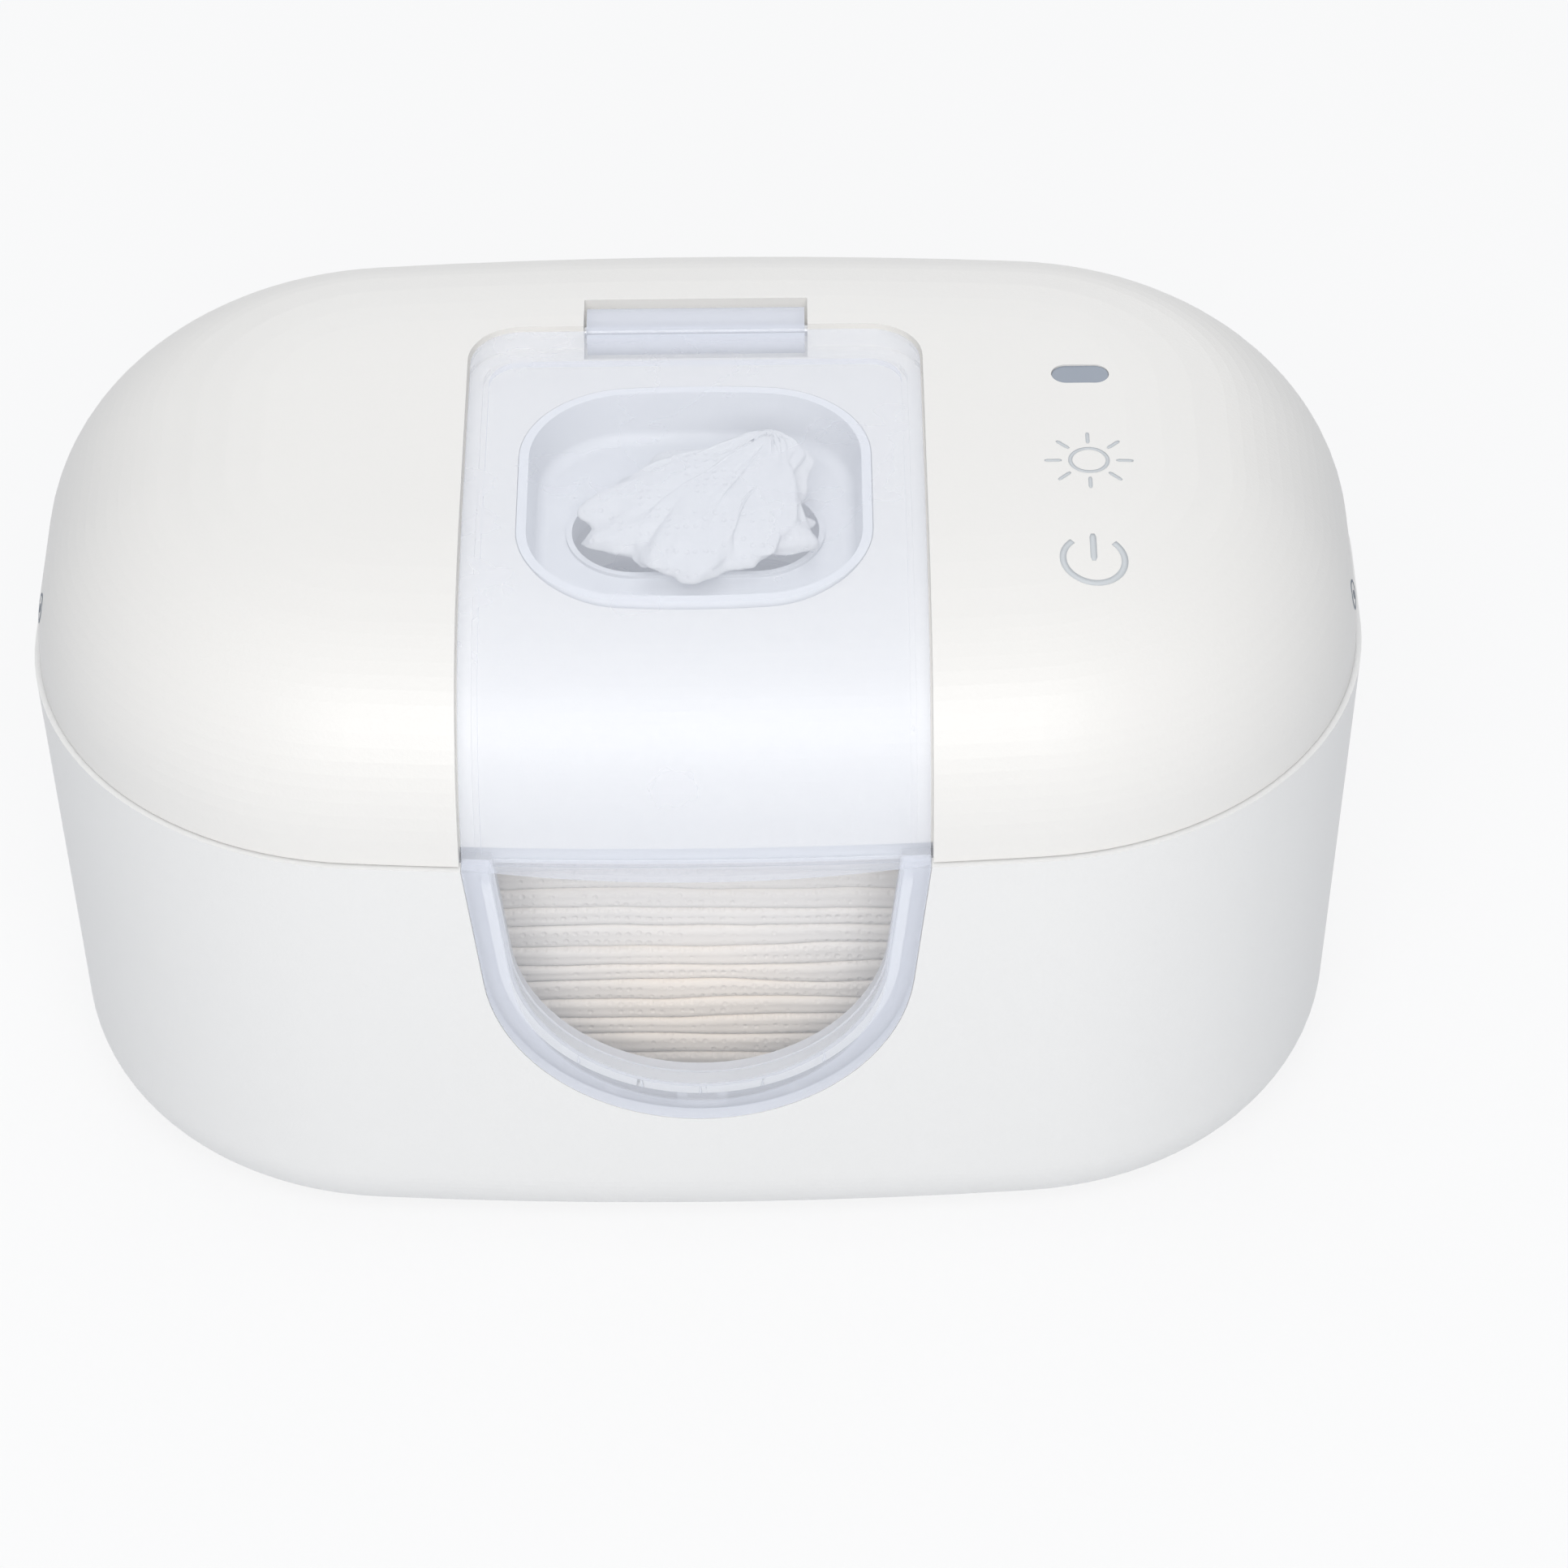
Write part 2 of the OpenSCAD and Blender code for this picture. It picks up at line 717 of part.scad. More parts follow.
module loft(rings) {
    sides = len(rings[0]);
    last = len(rings) - 1;
    points = [for (ring = rings) each ring];
    polyhedron(points, concat(
        [[for (k = [0 : sides - 1]) k]],
        [for (i = [0 : last - 1], k = [0 : sides - 1]) let (
            a = i * sides + k,
            b = i * sides + (k + 1) % sides
        ) each [[a, a + sides, b], [b, a + sides, b + sides]]],
        [[for (k = [sides - 1 : -1 : 0]) last * sides + k]]
    ));
}

module popup_wipe() color(wipe_white) {
    steps = wipe_steps * (len(wipe_rows) - 1);
    loft([for (i = [0 : steps]) [for (k = [0 : wipe_sides - 1])
        wipe_point(i / wipe_steps, 360 * k / wipe_sides)]]);
}

// Lid: the dome, the channel for the flap and the pocket for its hinge
lid_screw_at = [[body_w / 2 - 28.3, body_d / 2 - 41], [body_w / 2 - 66.3, body_d / 2 - 19.5]];
lid_boss_r = 3.6;
core_depth = 25;
board_post_r = 2.4;
board_screw_r = 1;
key_pad_wall = 1.6;
// How far the touch board's front and rear posts end below the dome's top
front_post_drop = lid_wall + 0.7;
rear_post_drop = 1.8;
touch_post_at = [
    [control_x - 8.5, power_key_y - 4.4], [control_x + 9.5, power_key_y - 0.4],
    [control_x - 8.5, indicator_y + 4.7], [control_x + 9.5, indicator_y + 4.7]
];
inlet_face_y = body_d / 2 - 5.5;
inlet_recess_r = 5;

module lid_screw_places() {
    for (place = lid_screw_at) at_four(place[0], place[1]) children();
}

module strip_zone(grow, rear_grow = undef) {
    upright() strip_2d(grow, rear_grow);
}

module pocket_zone(grow) {
    block(
        -pocket_half_w - grow, pocket_half_w + grow,
        flap_rear_y - 2, pocket_rear_y + grow,
        pocket_z - grow, grow > 0 ? body_h - lid_wall / 2 : far
    );
}

module channel_zone(grow) {
    strip_zone(flap_gap + grow, flap_rear_gap + grow);
}

module lid_shell() color(shell_white) difference() {
    union() {
        difference() {
            lid_layer(0, lid_wall);
            channel_zone(0);
        }
        intersection() {
            strip_layer(channel_depth, channel_depth + lid_wall);
            channel_zone(lid_wall);
        }
        intersection() {
            strip_layer(lid_wall / 2, channel_depth + lid_wall);
            difference() {
                channel_zone(lid_wall);
                channel_zone(0);
            }
        }
        intersection() {
            strip_layer(lid_wall / 2, core_depth);
            union() {
                at_four(lid_screw_at[1][0], lid_screw_at[1][1]) upright(liner_top_z) circle(lid_boss_r);
                rod_y(inlet_recess_r + 1.6, inlet_face_y - 2.4, inlet_face_y + 2, inlet_x, inlet_z);
            }
        }
        intersection() {
            corner_layer(lid_wall / 2, core_depth);
            at_four(lid_screw_at[0][0], lid_screw_at[0][1]) upright(liner_top_z) circle(lid_boss_r);
        }
        difference() {
            pocket_zone(lid_wall);
            channel_zone(0);
        }
        for (place = touch_post_at) let (top_z = body_h - (place[1] < 0 ? front_post_drop : rear_post_drop))
            translate([place[0], place[1], touch_board_z + board_t])
                cylinder(r = board_post_r, h = top_z - touch_board_z - board_t);
    }
    pocket_zone(0);
    rod_x(pin_r + touch, -pocket_half_w - 1.6, pocket_half_w + 1.6, pin_y, pin_z);
    translate([0, -well_forward, 0]) upright(well_under_z) oval_2d(well, -well_clear);
    translate([control_x, indicator_y, 0]) upright(body_h - 8) stadium_2d(indicator_l / 2 + 0.1, indicator_w / 2 + 0.1);
    rod_y(inlet_recess_r, inlet_face_y, far, inlet_x, inlet_z);
    rod_y(inlet_barrel_r + 0.1, inlet_face_y - 4, far, inlet_x, inlet_z);
    lid_screw_places() cylinder(r = screw_r + touch, h = liner_top_z + 9);
    for (place = touch_post_at)
        translate([place[0], place[1], 0]) cylinder(r = board_screw_r + touch, h = touch_board_z + board_t + 4);
}

// The plate that closes the lid from below, with its skirt, throat and supports
heater_screw_x = body_w / 2 - 52.3;
heater_screw_y = body_d / 2 - 43;
standoff_r = 3;
// The power board lies to the left. Its first edge, its width, half its length and its screws' inset
power_board_x = 36.3 - body_w / 2;
power_board_w = 32;
power_board_half_l = 24;
power_post_inset = 4;
power_post_at = [
    for (side = [-1, 1], x = [power_post_inset, power_board_w - power_post_inset])
        [power_board_x + x, side * (power_board_half_l - power_post_inset)]
];
power_board_z = liner_top_z + 4;
catch_slot_inset = catch_arm_inset + catch_arm_t + catch_travel + 0.2;
rail_x0 = body_w / 2 - 21.5;
rail_x1 = body_w / 2 - 8.5;
catch_plate_z = liner_top_z + 0.3;
catch_plate_t = 2.2;
spring_x0 = body_w / 2 - 31;
spring_x1 = body_w / 2 - 22;
spring_z = catch_plate_z + catch_plate_t + spring_r + 0.5;

liner_gap = 0.75;

module lid_liner() color(base_white) {
    difference() {
        union() {
            upright(liner_z, liner_top_z) oval_2d(body, rim_step + lid_wall + liner_gap);
            upright(liner_z, throat_top_z) slot_2d(seal_t + throat_wall + 1);
            at_four(heater_screw_x, heater_screw_y)
                translate([0, 0, heater_top_z]) cylinder(r = standoff_r, h = liner_top_z + 3 - heater_top_z);
        }
        upright() slot_2d(seal_t + 1);
        difference() {
            upright() square([flap_w + 2 * (flap_gap + lid_wall) + 1, far * 2], center = true);
            upright() oval_2d(body, rim_step + channel_depth + lid_wall + 0.9);
            block(-far, far, 0, far, 0, far);
        }
        block(inlet_x - inlet_recess_r - 2.2, inlet_x + inlet_recess_r + 2.2, inlet_face_y - 3, far, 0, far);
        lid_screw_places() cylinder(r = screw_r + 0.2, h = far);
        at_four(heater_screw_x, heater_screw_y) cylinder(r = screw_r + touch, h = liner_top_z + 2);
        difference() {
            block(-far, far, -ledge_half_w, ledge_half_w, 0, far);
            upright() oval_2d(body, catch_slot_inset);
        }
    }
    oval_ring(body, skirt_inset, skirt_inset + skirt_t, skirt_z, liner_z);
    for (place = power_post_at) translate([place[0], place[1], liner_top_z]) difference() {
        cylinder(r = board_post_r, h = power_board_z - liner_top_z);
        cylinder(r = board_screw_r + touch, h = far);
    }
    for (side = [0, 1]) mirror([side, 0, 0]) catch_guides();
}

module catch_guides() {
    lip_z = catch_plate_z + catch_plate_t + 0.3;
    for (side = [0, 1]) mirror([0, side, 0]) {
        block(rail_x0, rail_x1, catch_half_w + 0.3, catch_half_w + 1.9, liner_top_z, lip_z + 1.2);
        block(rail_x0, rail_x1, catch_half_w - 0.8, catch_half_w + 1.9, lip_z, lip_z + 1.2);
    }
    block(spring_x0 - 2, spring_x0, -4, 4, liner_top_z, spring_z + spring_r + 1);
}

well_round = 4;
well_floor_strip = 8;
well_flange_w = 3;
well_flange_t = 1.5;
well_clear = 0.15;
// The flange is flat, so it lies as low as the channel's curved underside is over its front edge
channel_under_r = crown_r - channel_depth - lid_wall;
well_flange_past = well_forward + well_half_d + well_wall + well_flange_w - body_d / 2 + crown_inset;
well_flange_z = channel_under_z - slide_gap
    - channel_under_r + sqrt(pow(channel_under_r, 2) - pow(well_flange_past, 2));

module dispensing_well() color(milky) difference() {
    translate([0, -well_forward, 0]) {
        cup(well, channel_z, well_under_z, well_lean, well_round, well_wall, well_floor_strip);
        oval_ring(well, well_wall * 0.7, -well_flange_w, well_flange_z - well_flange_t, well_flange_z);
    }
    upright() slot_2d(seal_t + touch);
}

module throat_seal() color(silicone) difference() {
    union() {
        upright(throat_top_z, well_under_z) slot_2d(seal_t + 3);
        upright(throat_top_z, well_floor_z + 0.6) slot_2d(seal_t);
    }
    upright() slot_2d(0);
}

module lid_seal() color(silicone) {
    seal_gap = 0.25;
    tub_face = tub_inset + tub_wall + seal_gap;
    oval_ring(body, tub_face, skirt_inset, skirt_z + 0.8, skirt_z + 1.6);
    oval_ring(body, tub_face + 0.4, skirt_inset, skirt_z + 0.8, skirt_z + 4);
}

// Heater: the aluminium plate over the wipes, its film, its pad and its thermal fuse
fuse_y = body_d / 2 - 33;
fuse_r = 1;
fuse_l = 12;

module heater_stack(z0, z1, inset, hole) {
    difference() {
        upright(z0, z1) oval_2d(body, heater_inset + inset);
        upright() slot_2d(heater_hole_clear + hole);
        lid_screw_places() cylinder(r = screw_head_r + 0.8, h = far);
        children();
    }
}

module heater_plate() color([0.8, 0.81, 0.83]) {
    heater_stack(heater_top_z - heater_t, heater_top_z, 0, 0)
        at_four(heater_screw_x, heater_screw_y) cylinder(r = screw_r + 0.2, h = far);
}

module heater_film() color([0.82, 0.6, 0.3]) {
    heater_stack(heater_top_z, heater_top_z + film_t, 3, 2)
        at_four(heater_screw_x, heater_screw_y) cylinder(r = standoff_r + 0.8, h = far);
}

module heater_pad() color([0.35, 0.36, 0.38]) {
    heater_stack(heater_top_z + film_t, liner_z - pad_clear, 3, 2) {
        at_four(heater_screw_x, heater_screw_y) cylinder(r = standoff_r + 0.5, h = far);
        block(-fuse_l / 2 - 2.5, fuse_l / 2 + 2.5, fuse_y - fuse_r - 0.5, fuse_y + fuse_r + 0.5, 0, far);
    }
}

module thermal_fuse() color([0.75, 0.7, 0.55]) {
    z = heater_top_z + film_t + fuse_r;
    rod_x(fuse_r, -fuse_l / 2, fuse_l / 2, fuse_y, z);
    rod_x(0.35, -fuse_l / 2 - 2, fuse_l / 2 + 2, fuse_y, z);
}

module heater_screws() color(steel) at_four(heater_screw_x, heater_screw_y)
    translate([0, 0, heater_top_z - heater_t]) screw(screw_head_r, screw_head_h, screw_r, 6, 1.6);

module lid_screws() color(steel) lid_screw_places()
    translate([0, 0, liner_z]) screw(screw_head_r, screw_head_h, screw_r, liner_t + 7, 1.6);

// Electronics
module touch_board() color([0.13, 0.42, 0.3]) difference() {
    block(
        control_x - 12, control_x + 13, power_key_y - 8.4, indicator_y + 9,
        touch_board_z, touch_board_z + board_t
    );
    for (place = touch_post_at)
        translate([place[0], place[1], 0]) cylinder(r = board_screw_r + 0.15, h = far);
}

// The pads end just below the dome, which is lower over the power key
// How far each key's pad ends below the flat of the dome's inside
light_pad_drop = 0.5;
power_pad_drop = 2.3;

module touch_pads() color([0.3, 0.31, 0.33])
    for (key = [[light_key_y, light_pad_drop], [power_key_y, power_pad_drop]])
        translate([control_x, key[0], touch_board_z + board_t]) difference() {
            cylinder(r = key_pad_r, h = body_h - lid_wall - key[1] - touch_board_z - board_t);
            cylinder(r = key_pad_r - key_pad_wall, h = far);
        }

module board_lights() color([0.98, 0.95, 0.7]) {
    for (y = [indicator_y, (light_key_y + power_key_y) / 2])
        translate([control_x - 1.75, y - 1.4, touch_board_z + board_t]) cube([3.5, 2.8, 1.2]);
}

module indicator_lens() color([0.6, 0.64, 0.69]) translate([control_x, indicator_y, 0]) {
    upright(body_h - lid_wall - 1.6, body_h - 0.3) stadium_2d(indicator_l / 2, indicator_w / 2);
    upright(touch_board_z + board_t + 1.4, body_h - lid_wall - 1.5) stadium_2d(3.4, 1.6);
    upright(body_h - lid_wall - 1.6, body_h - lid_wall - 0.1) stadium_2d(indicator_l / 2 + 1.2, indicator_w / 2 + 1.2);
}

// The board with its transformer, its relay and two capacitors
module power_board() color([0.13, 0.42, 0.3]) {
    top_z = power_board_z + board_t;
    difference() {
        block(
            power_board_x, power_board_x + power_board_w, -power_board_half_l, power_board_half_l,
            power_board_z, top_z
        );
        for (place = power_post_at)
            translate([place[0], place[1], 0]) cylinder(r = board_screw_r + 0.15, h = far);
    }
    translate([power_board_x, 0, 0]) {
        block(8, 20, -12, 2, top_z, top_z + 6);
        block(22, 29, -6, 8, top_z, top_z + 5);
        translate([14, 10, top_z]) cylinder(r = 3.2, h = 7);
        translate([22, 13, top_z]) cylinder(r = 2.5, h = 6);
    }
}

module board_screws() color(steel) {
    for (place = touch_post_at)
        translate([place[0], place[1], touch_board_z]) screw(1.9, 1.1, board_screw_r, board_t + 3.6, 1);
    for (place = power_post_at)
        translate([place[0], place[1], power_board_z + board_t]) mirror([0, 0, 1])
            screw(1.9, 1.1, board_screw_r, board_t + 3.6, 1);
}

inlet_body_l = 12;
inlet_barrel_l = 2.2;

module inlet_socket() color([0.16, 0.16, 0.17]) difference() {
    union() {
        block(
            inlet_x - 4.5, inlet_x + 4.5,
            inlet_face_y - inlet_barrel_l - inlet_body_l, inlet_face_y - inlet_barrel_l - 0.3,
            liner_top_z, 2 * inlet_z - liner_top_z
        );
        rod_y(inlet_barrel_r, inlet_face_y - inlet_barrel_l - 1, inlet_face_y, inlet_x, inlet_z);
    }
    rod_y(inlet_bore_r, inlet_face_y - 10, far, inlet_x, inlet_z);
}

module inlet_pin() color(steel) rod_y(inlet_pin_r, inlet_face_y - 10, inlet_face_y - 0.8, inlet_x, inlet_z);

// Lid catches: a plate that slides on the liner, an arm outside the skirt and a nose under the rim's ledge
catch_tab_t = 2;

module catch() {
    outer = body_w / 2;
    nose_top_z = catch_ledge_z - 0.3;
    arm_in = catch_arm_inset + catch_arm_t;
    block(
        spring_x1, outer - catch_arm_inset - 0.8, -catch_half_w, catch_half_w,
        catch_plate_z, catch_plate_z + catch_plate_t
    );
    block(
        outer - arm_in, outer - catch_arm_inset, -catch_half_w + 1, catch_half_w - 1,
        nose_top_z - 2.3, liner_top_z - 0.3
    );
    block(
        outer - arm_in, outer - catch_arm_inset - 0.8, -catch_half_w + 1, catch_half_w - 1,
        liner_top_z - 1, catch_plate_z + 1
    );
    block(
        outer - catch_arm_inset - touch, outer - catch_nose_inset, -catch_half_w + 1, catch_half_w - 1,
        nose_top_z - 2.3, nose_top_z
    );
    block(spring_x1, spring_x1 + catch_tab_t, -6, 6, catch_plate_z + 1, spring_z + spring_r + 1);
}

module right_catch() color(base_white) catch();
module left_catch() color(base_white) mirror([1, 0, 0]) catch();

spring_sides = 6;
spring_rings = 8;

module catch_spring() {
    wire_gap = 0.05;
    x0 = spring_x0 + spring_wire_r + wire_gap;
    run = spring_x1 - spring_x0 - 2 * (spring_wire_r + wire_gap);
    count = spring_turns * spring_rings;
    echo(spring_turn_gap = run / spring_turns - 2 * spring_wire_r);
    loft([for (i = [0 : count]) let (
        turn = 360 * i / spring_rings,
        middle = [x0 + run * i / count, 0, spring_z],
        outward = [0, cos(turn), sin(turn)]
    ) [for (k = [0 : spring_sides - 1]) let (side = polar(spring_wire_r, 360 * k / spring_sides))
        middle + (spring_r + side[0]) * outward + [side[1], 0, 0]]]);
}

module right_catch_spring() color(steel) catch_spring();
module left_catch_spring() color(steel) mirror([1, 0, 0]) catch_spring();

// Flap: a milky plate that follows the dome, with its rib, its knuckle and its finger lip
// The plate's rear edge is a thin lip, so that it swings clear of the channel's round corners
flap_lip_l = 3.5;
flap_lip_t = 1;

module flap() color(milky) difference() {
    union() {
        difference() {
            intersection() {
                strip_layer(flap_sink, flap_sink + flap_t);
                strip_zone(0);
                union() {
                    strip_zone(1, -flap_lip_l);
                    upright(body_h - flap_sink - flap_lip_t) strip_2d(1);
                }
            }
            rod_x(norm([pin_back, knuckle_r]), -far, far, pin_y, pin_z);
        }
        intersection() {
            strip_layer(flap_sink + flap_t - touch, flap_sink + flap_t + flap_rib_h);
            difference() {
                strip_zone(-flap_rib_side, -flap_rib_rear);
                strip_zone(-flap_rib_side - flap_rib_w, -flap_rib_rear - flap_rib_w);
            }
        }
        rod_x(knuckle_r, -knuckle_half_w, knuckle_half_w, pin_y, pin_z);
        block(
            -knuckle_half_w, knuckle_half_w, flap_rear_y - flap_lip_l - 0.5, pin_y,
            body_h - flap_sink - flap_t, body_h - flap_sink
        );
        finger_lip();
    }
    rod_x(pin_r + 0.06, -far, far, pin_y, pin_z);
}

module finger_lip() {
    front_y = -body_d / 2 - lip_reach;
    upright(lid_z + 0.1, lid_z + 0.1 + lip_t) intersection() {
        translate([0, front_y + lip_r]) circle(lip_r);
        difference() {
            translate([-flap_w / 2, -far]) square([flap_w, far]);
            oval_2d(body, rim_step + flap_sink + 1);
        }
    }
}

module hinge_pin() color(steel)
    rod_x(pin_r, -pocket_half_w - 1.4, pocket_half_w + 1.4, pin_y, pin_z);

base_shell();
front_window();
window_gasket();
inner_tub();
tub_screws();
rubber_feet();
wipe_stack();
lid_shell();
lid_liner();
dispensing_well();
throat_seal();
lid_seal();
heater_plate();
heater_film();
heater_pad();
thermal_fuse();
touch_board();
touch_pads();
board_lights();
indicator_lens();
power_board();
inlet_socket();
inlet_pin();
lid_screws();
heater_screws();
board_screws();
left_catch_spring();
right_catch_spring();
hinge_pin();
popup_wipe();
flap();
left_catch();
right_catch();
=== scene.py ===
"""Dresses the baby wipe warmer: its plastics, seals, heater, wipes, printed keys and studio stage."""

import math

import bmesh
import bpy
from bpy.props import FloatProperty, FloatVectorProperty, IntProperty, PointerProperty
from mathutils import Matrix, Vector, noise
from mathutils.bvhtree import BVHTree


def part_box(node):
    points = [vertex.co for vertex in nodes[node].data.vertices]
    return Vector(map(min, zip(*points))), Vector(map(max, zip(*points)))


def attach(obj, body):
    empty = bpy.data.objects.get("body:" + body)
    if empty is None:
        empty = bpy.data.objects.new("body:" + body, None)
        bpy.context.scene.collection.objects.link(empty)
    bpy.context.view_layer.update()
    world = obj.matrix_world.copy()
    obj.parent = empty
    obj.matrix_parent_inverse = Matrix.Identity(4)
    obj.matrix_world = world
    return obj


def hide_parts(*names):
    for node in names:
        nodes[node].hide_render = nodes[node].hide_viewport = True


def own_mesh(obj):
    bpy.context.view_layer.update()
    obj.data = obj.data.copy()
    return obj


bl_info = {
    "name": "Baby wipe warmer",
    "version": (1, 0, 0),
    "blender": (4, 5, 0),
    "location": "3D View > Sidebar > Wipe Warmer",
    "description": "Dresses the wipe warmer with its plastics, cloth, printed keys and studio stage",
    "category": "Object",
}

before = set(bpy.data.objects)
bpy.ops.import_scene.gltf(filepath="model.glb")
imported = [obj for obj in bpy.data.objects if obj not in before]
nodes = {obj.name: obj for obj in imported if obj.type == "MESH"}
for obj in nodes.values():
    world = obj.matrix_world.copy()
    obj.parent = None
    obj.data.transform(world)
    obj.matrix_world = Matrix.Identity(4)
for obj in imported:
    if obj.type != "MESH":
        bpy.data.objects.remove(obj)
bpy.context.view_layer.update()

MM = 0.001
STACK_LOW, STACK_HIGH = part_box("wipe_stack")
LENS_LOW, LENS_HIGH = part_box("indicator_lens")

# The keys on the lid: middle of the printed sun and of the printed power mark
SUN_AT = (66.5 * MM, -10.8 * MM)
POWER_AT = (66.3 * MM, -35.6 * MM)
# Middle of the press mark on each end of the lid, along the depth and the height
PRESS_AT = (-15 * MM, 100.6 * MM)
# Middle of the dispensing well
WELL_Y = -12 * MM
# The window's outline: its foot's radius and centre height, and the lean of its sides
WINDOW_R = 36.2 * MM
WINDOW_MIDDLE_Z = 67.6 * MM
WINDOW_LEAN = math.radians(6)
# The flap's hinge block: half its width, and where it begins
KNUCKLE_HALF_W = 19 * MM
KNUCKLE_Y = 26.4 * MM
# How softly the window's border and the hinge block set in
BORDER_BLUR = 0.4 * MM
KNUCKLE_BLUR = 2 * MM
# How far above the floor, or beside the middle, a print starts before it is dropped onto the lid
PRINT_DROP = 0.2


# Sizes and colours that a user may change


def length(name, description, default, low=0.0, high=1.0):
    """A length in metres that shows in the sidebar."""
    return FloatProperty(
        name=name,
        description=description,
        default=default,
        min=low,
        max=high,
        precision=5,
        subtype="DISTANCE",
        unit="LENGTH",
    )


def share(name, description, default, low=0.0, high=1.0):
    """A plain number that shows as a slider."""
    return FloatProperty(
        name=name, description=description, default=default, min=low, max=high, subtype="FACTOR"
    )


def colour(name, what, default):
    """The colour of something, without alpha."""
    return FloatVectorProperty(
        name=name, description=f"Colour of {what}", default=default, size=3, min=0.0, max=1.0, subtype="COLOR"
    )


def watts(name, description, default):
    """The power of a lamp."""
    return FloatProperty(name=name, description=description, default=default, min=0.0, unit="POWER")


class WarmerPlastics(bpy.types.PropertyGroup):
    lid_white: colour("Lid white", "the moulded lid", (0.83, 0.82, 0.80))
    base_white: colour("Base white", "the moulded base", (0.84, 0.84, 0.835))
    liner_white: colour("Liner white", "the lid's liner", (0.82, 0.83, 0.83))
    milky_blue: colour("Milky blue", "the flap and the window", (0.78, 0.815, 0.91))
    well_white: colour("Well white", "the dispensing well", (0.88, 0.9, 0.94))
    tub_grey: colour("Tub grey", "the frosted tub", (0.80, 0.815, 0.86))
    seal_white: colour("Seal white", "the silicone seals", (0.80, 0.82, 0.86))
    foot_grey: colour("Foot grey", "the rubber feet", (0.26, 0.28, 0.31))
    flap_cover: share("Flap cover", "How much one wall of the flap hides what is behind it", 0.28)
    window_cover: share("Window cover", "How much one wall of the window hides what is behind it", 0.09)
    knuckle_cover: share("Knuckle cover", "How much more the flap's thick hinge block hides", 0.3)
    border_width: length("Border width", "Width of the window's frosted border", 0.0046, 0.001, 0.02)
    border_cover: share("Border cover", "How much more the window's frosted border hides", 0.42)
    shadow_share: share("Shadow share", "How much of a milky wall's cover is left in its shadow", 0.1)
    tub_cover: share("Tub cover", "How much one wall of the tub hides what is behind it", 0.80)
    well_cover: share("Well cover", "How much one wall of the well hides what is behind it", 0.88)
    shell_roughness: share("Shell roughness", "Roughness of the white shells", 0.42)
    grain_height: length("Grain height", "Height of the grain on the moulded shells", 0.00004, 0.0, 0.001)


class WarmerHeater(bpy.types.PropertyGroup):
    plate: colour("Plate", "the rolled aluminium plate", (0.72, 0.73, 0.75))
    steel: colour("Steel", "screws, pin and springs", (0.60, 0.61, 0.63))
    film: colour("Film", "the amber film", (0.62, 0.30, 0.07))
    track: colour("Track", "the heating track in the film", (0.30, 0.17, 0.08))
    pad: colour("Pad", "the foam pad", (0.10, 0.105, 0.12))
    board: colour("Board", "the circuit boards", (0.015, 0.16, 0.075))
    copper: colour("Copper", "the tracks on the boards", (0.03, 0.30, 0.15))
    spring_wire: length("Spring wire", "Radius of the wire of the catch springs", 0.00035, 0.0001, 0.001)
    track_pitch: length("Track pitch", "Distance between the runs of the heating track", 0.006, 0.002, 0.02)


class WarmerCloth(bpy.types.PropertyGroup):
    stack_colour: colour("Stack", "the folded wipes", (0.88, 0.85, 0.82))
    # A warm pool of light painted into the stack's colour, not a colour of the cloth itself
    stack_painted_glow: colour("Painted glow on stack", "the warm glow painted on the stack in the middle of the window", (0.95, 0.86, 0.76))
    wipe_colour: colour("Wipe", "the standing wipe", (0.79, 0.8, 0.815))
    layers: IntProperty(
        name="Layers", description="Number of folded wipes in the stack", default=16, min=4, max=24
    )
    wave: length("Wave", "Height of the slow waves in the stack", 0.0011, 0.0, 0.002)
    ripple: length("Ripple", "Height of the quick ripples in the stack", 0.00028, 0.0, 0.001)
    thickness: length("Cloth thickness", "Thickness of the standing wipe", 0.00035, 0.0002, 0.001)
    crease: length("Crease", "Depth of the gathers in the standing wipe", 0.0015, 0.0, 0.006)
    fibre: length("Fibre", "Size of the fibres of the cloth", 0.0006, 0.0001, 0.003)


class WarmerPrints(bpy.types.PropertyGroup):
    ink: colour("Ink", "the printed keys", (0.6, 0.63, 0.655))
    press_ink: colour("Press ink", "the press marks", (0.20, 0.23, 0.28))
    lens_face: colour("Lens", "the indicator lens", (0.26, 0.3, 0.365))
    lens_rim: colour("Lens rim", "the indicator lens round its edge", (0.15, 0.18, 0.24))
    lift: length("Lift", "Height of the ink over the lid", 0.00006, 0.00001, 0.0005)
    thickness: length("Ink thickness", "Thickness of the ink", 0.00004, 0.00001, 0.0005)
    sun_radius: length("Sun radius", "Outer radius of the sun's ring", 0.0035, 0.001, 0.01)
    sun_stroke: length("Sun stroke", "Width of the sun's lines", 0.00068, 0.0002, 0.002)
    ray_start: length("Ray start", "Where a ray of the sun starts", 0.0046, 0.001, 0.01)
    ray_end: length("Ray end", "Where a ray of the sun ends", 0.0075, 0.001, 0.012)
    power_radius: length("Power radius", "Outer radius of the power mark", 0.0057, 0.001, 0.01)
    power_stroke: length("Power stroke", "Width of the power mark's lines", 0.00112, 0.0002, 0.002)


class WarmerStage(bpy.types.PropertyGroup):
    backdrop: colour("Backdrop", "the backdrop and the floor", (1.0, 1.0, 1.0))
    room: colour("Room light", "the light from the room", (0.89, 0.93, 1.0))
    room_strength: share("Room strength", "Strength of the light from the room", 0.37, 0.0, 2.0)
    key_power: watts("Key lamp", "Power of the lamp in front", 15.4)
    top_power: watts("Top lamp", "Power of the lamp overhead", 4.4)
    rear_power: watts("Rear lamp", "Power of the lamp behind", 5.0)
    floor_half: length("Floor half width", "Half the width of the floor", 3.0, 0.5, 20.0)


# Node trees


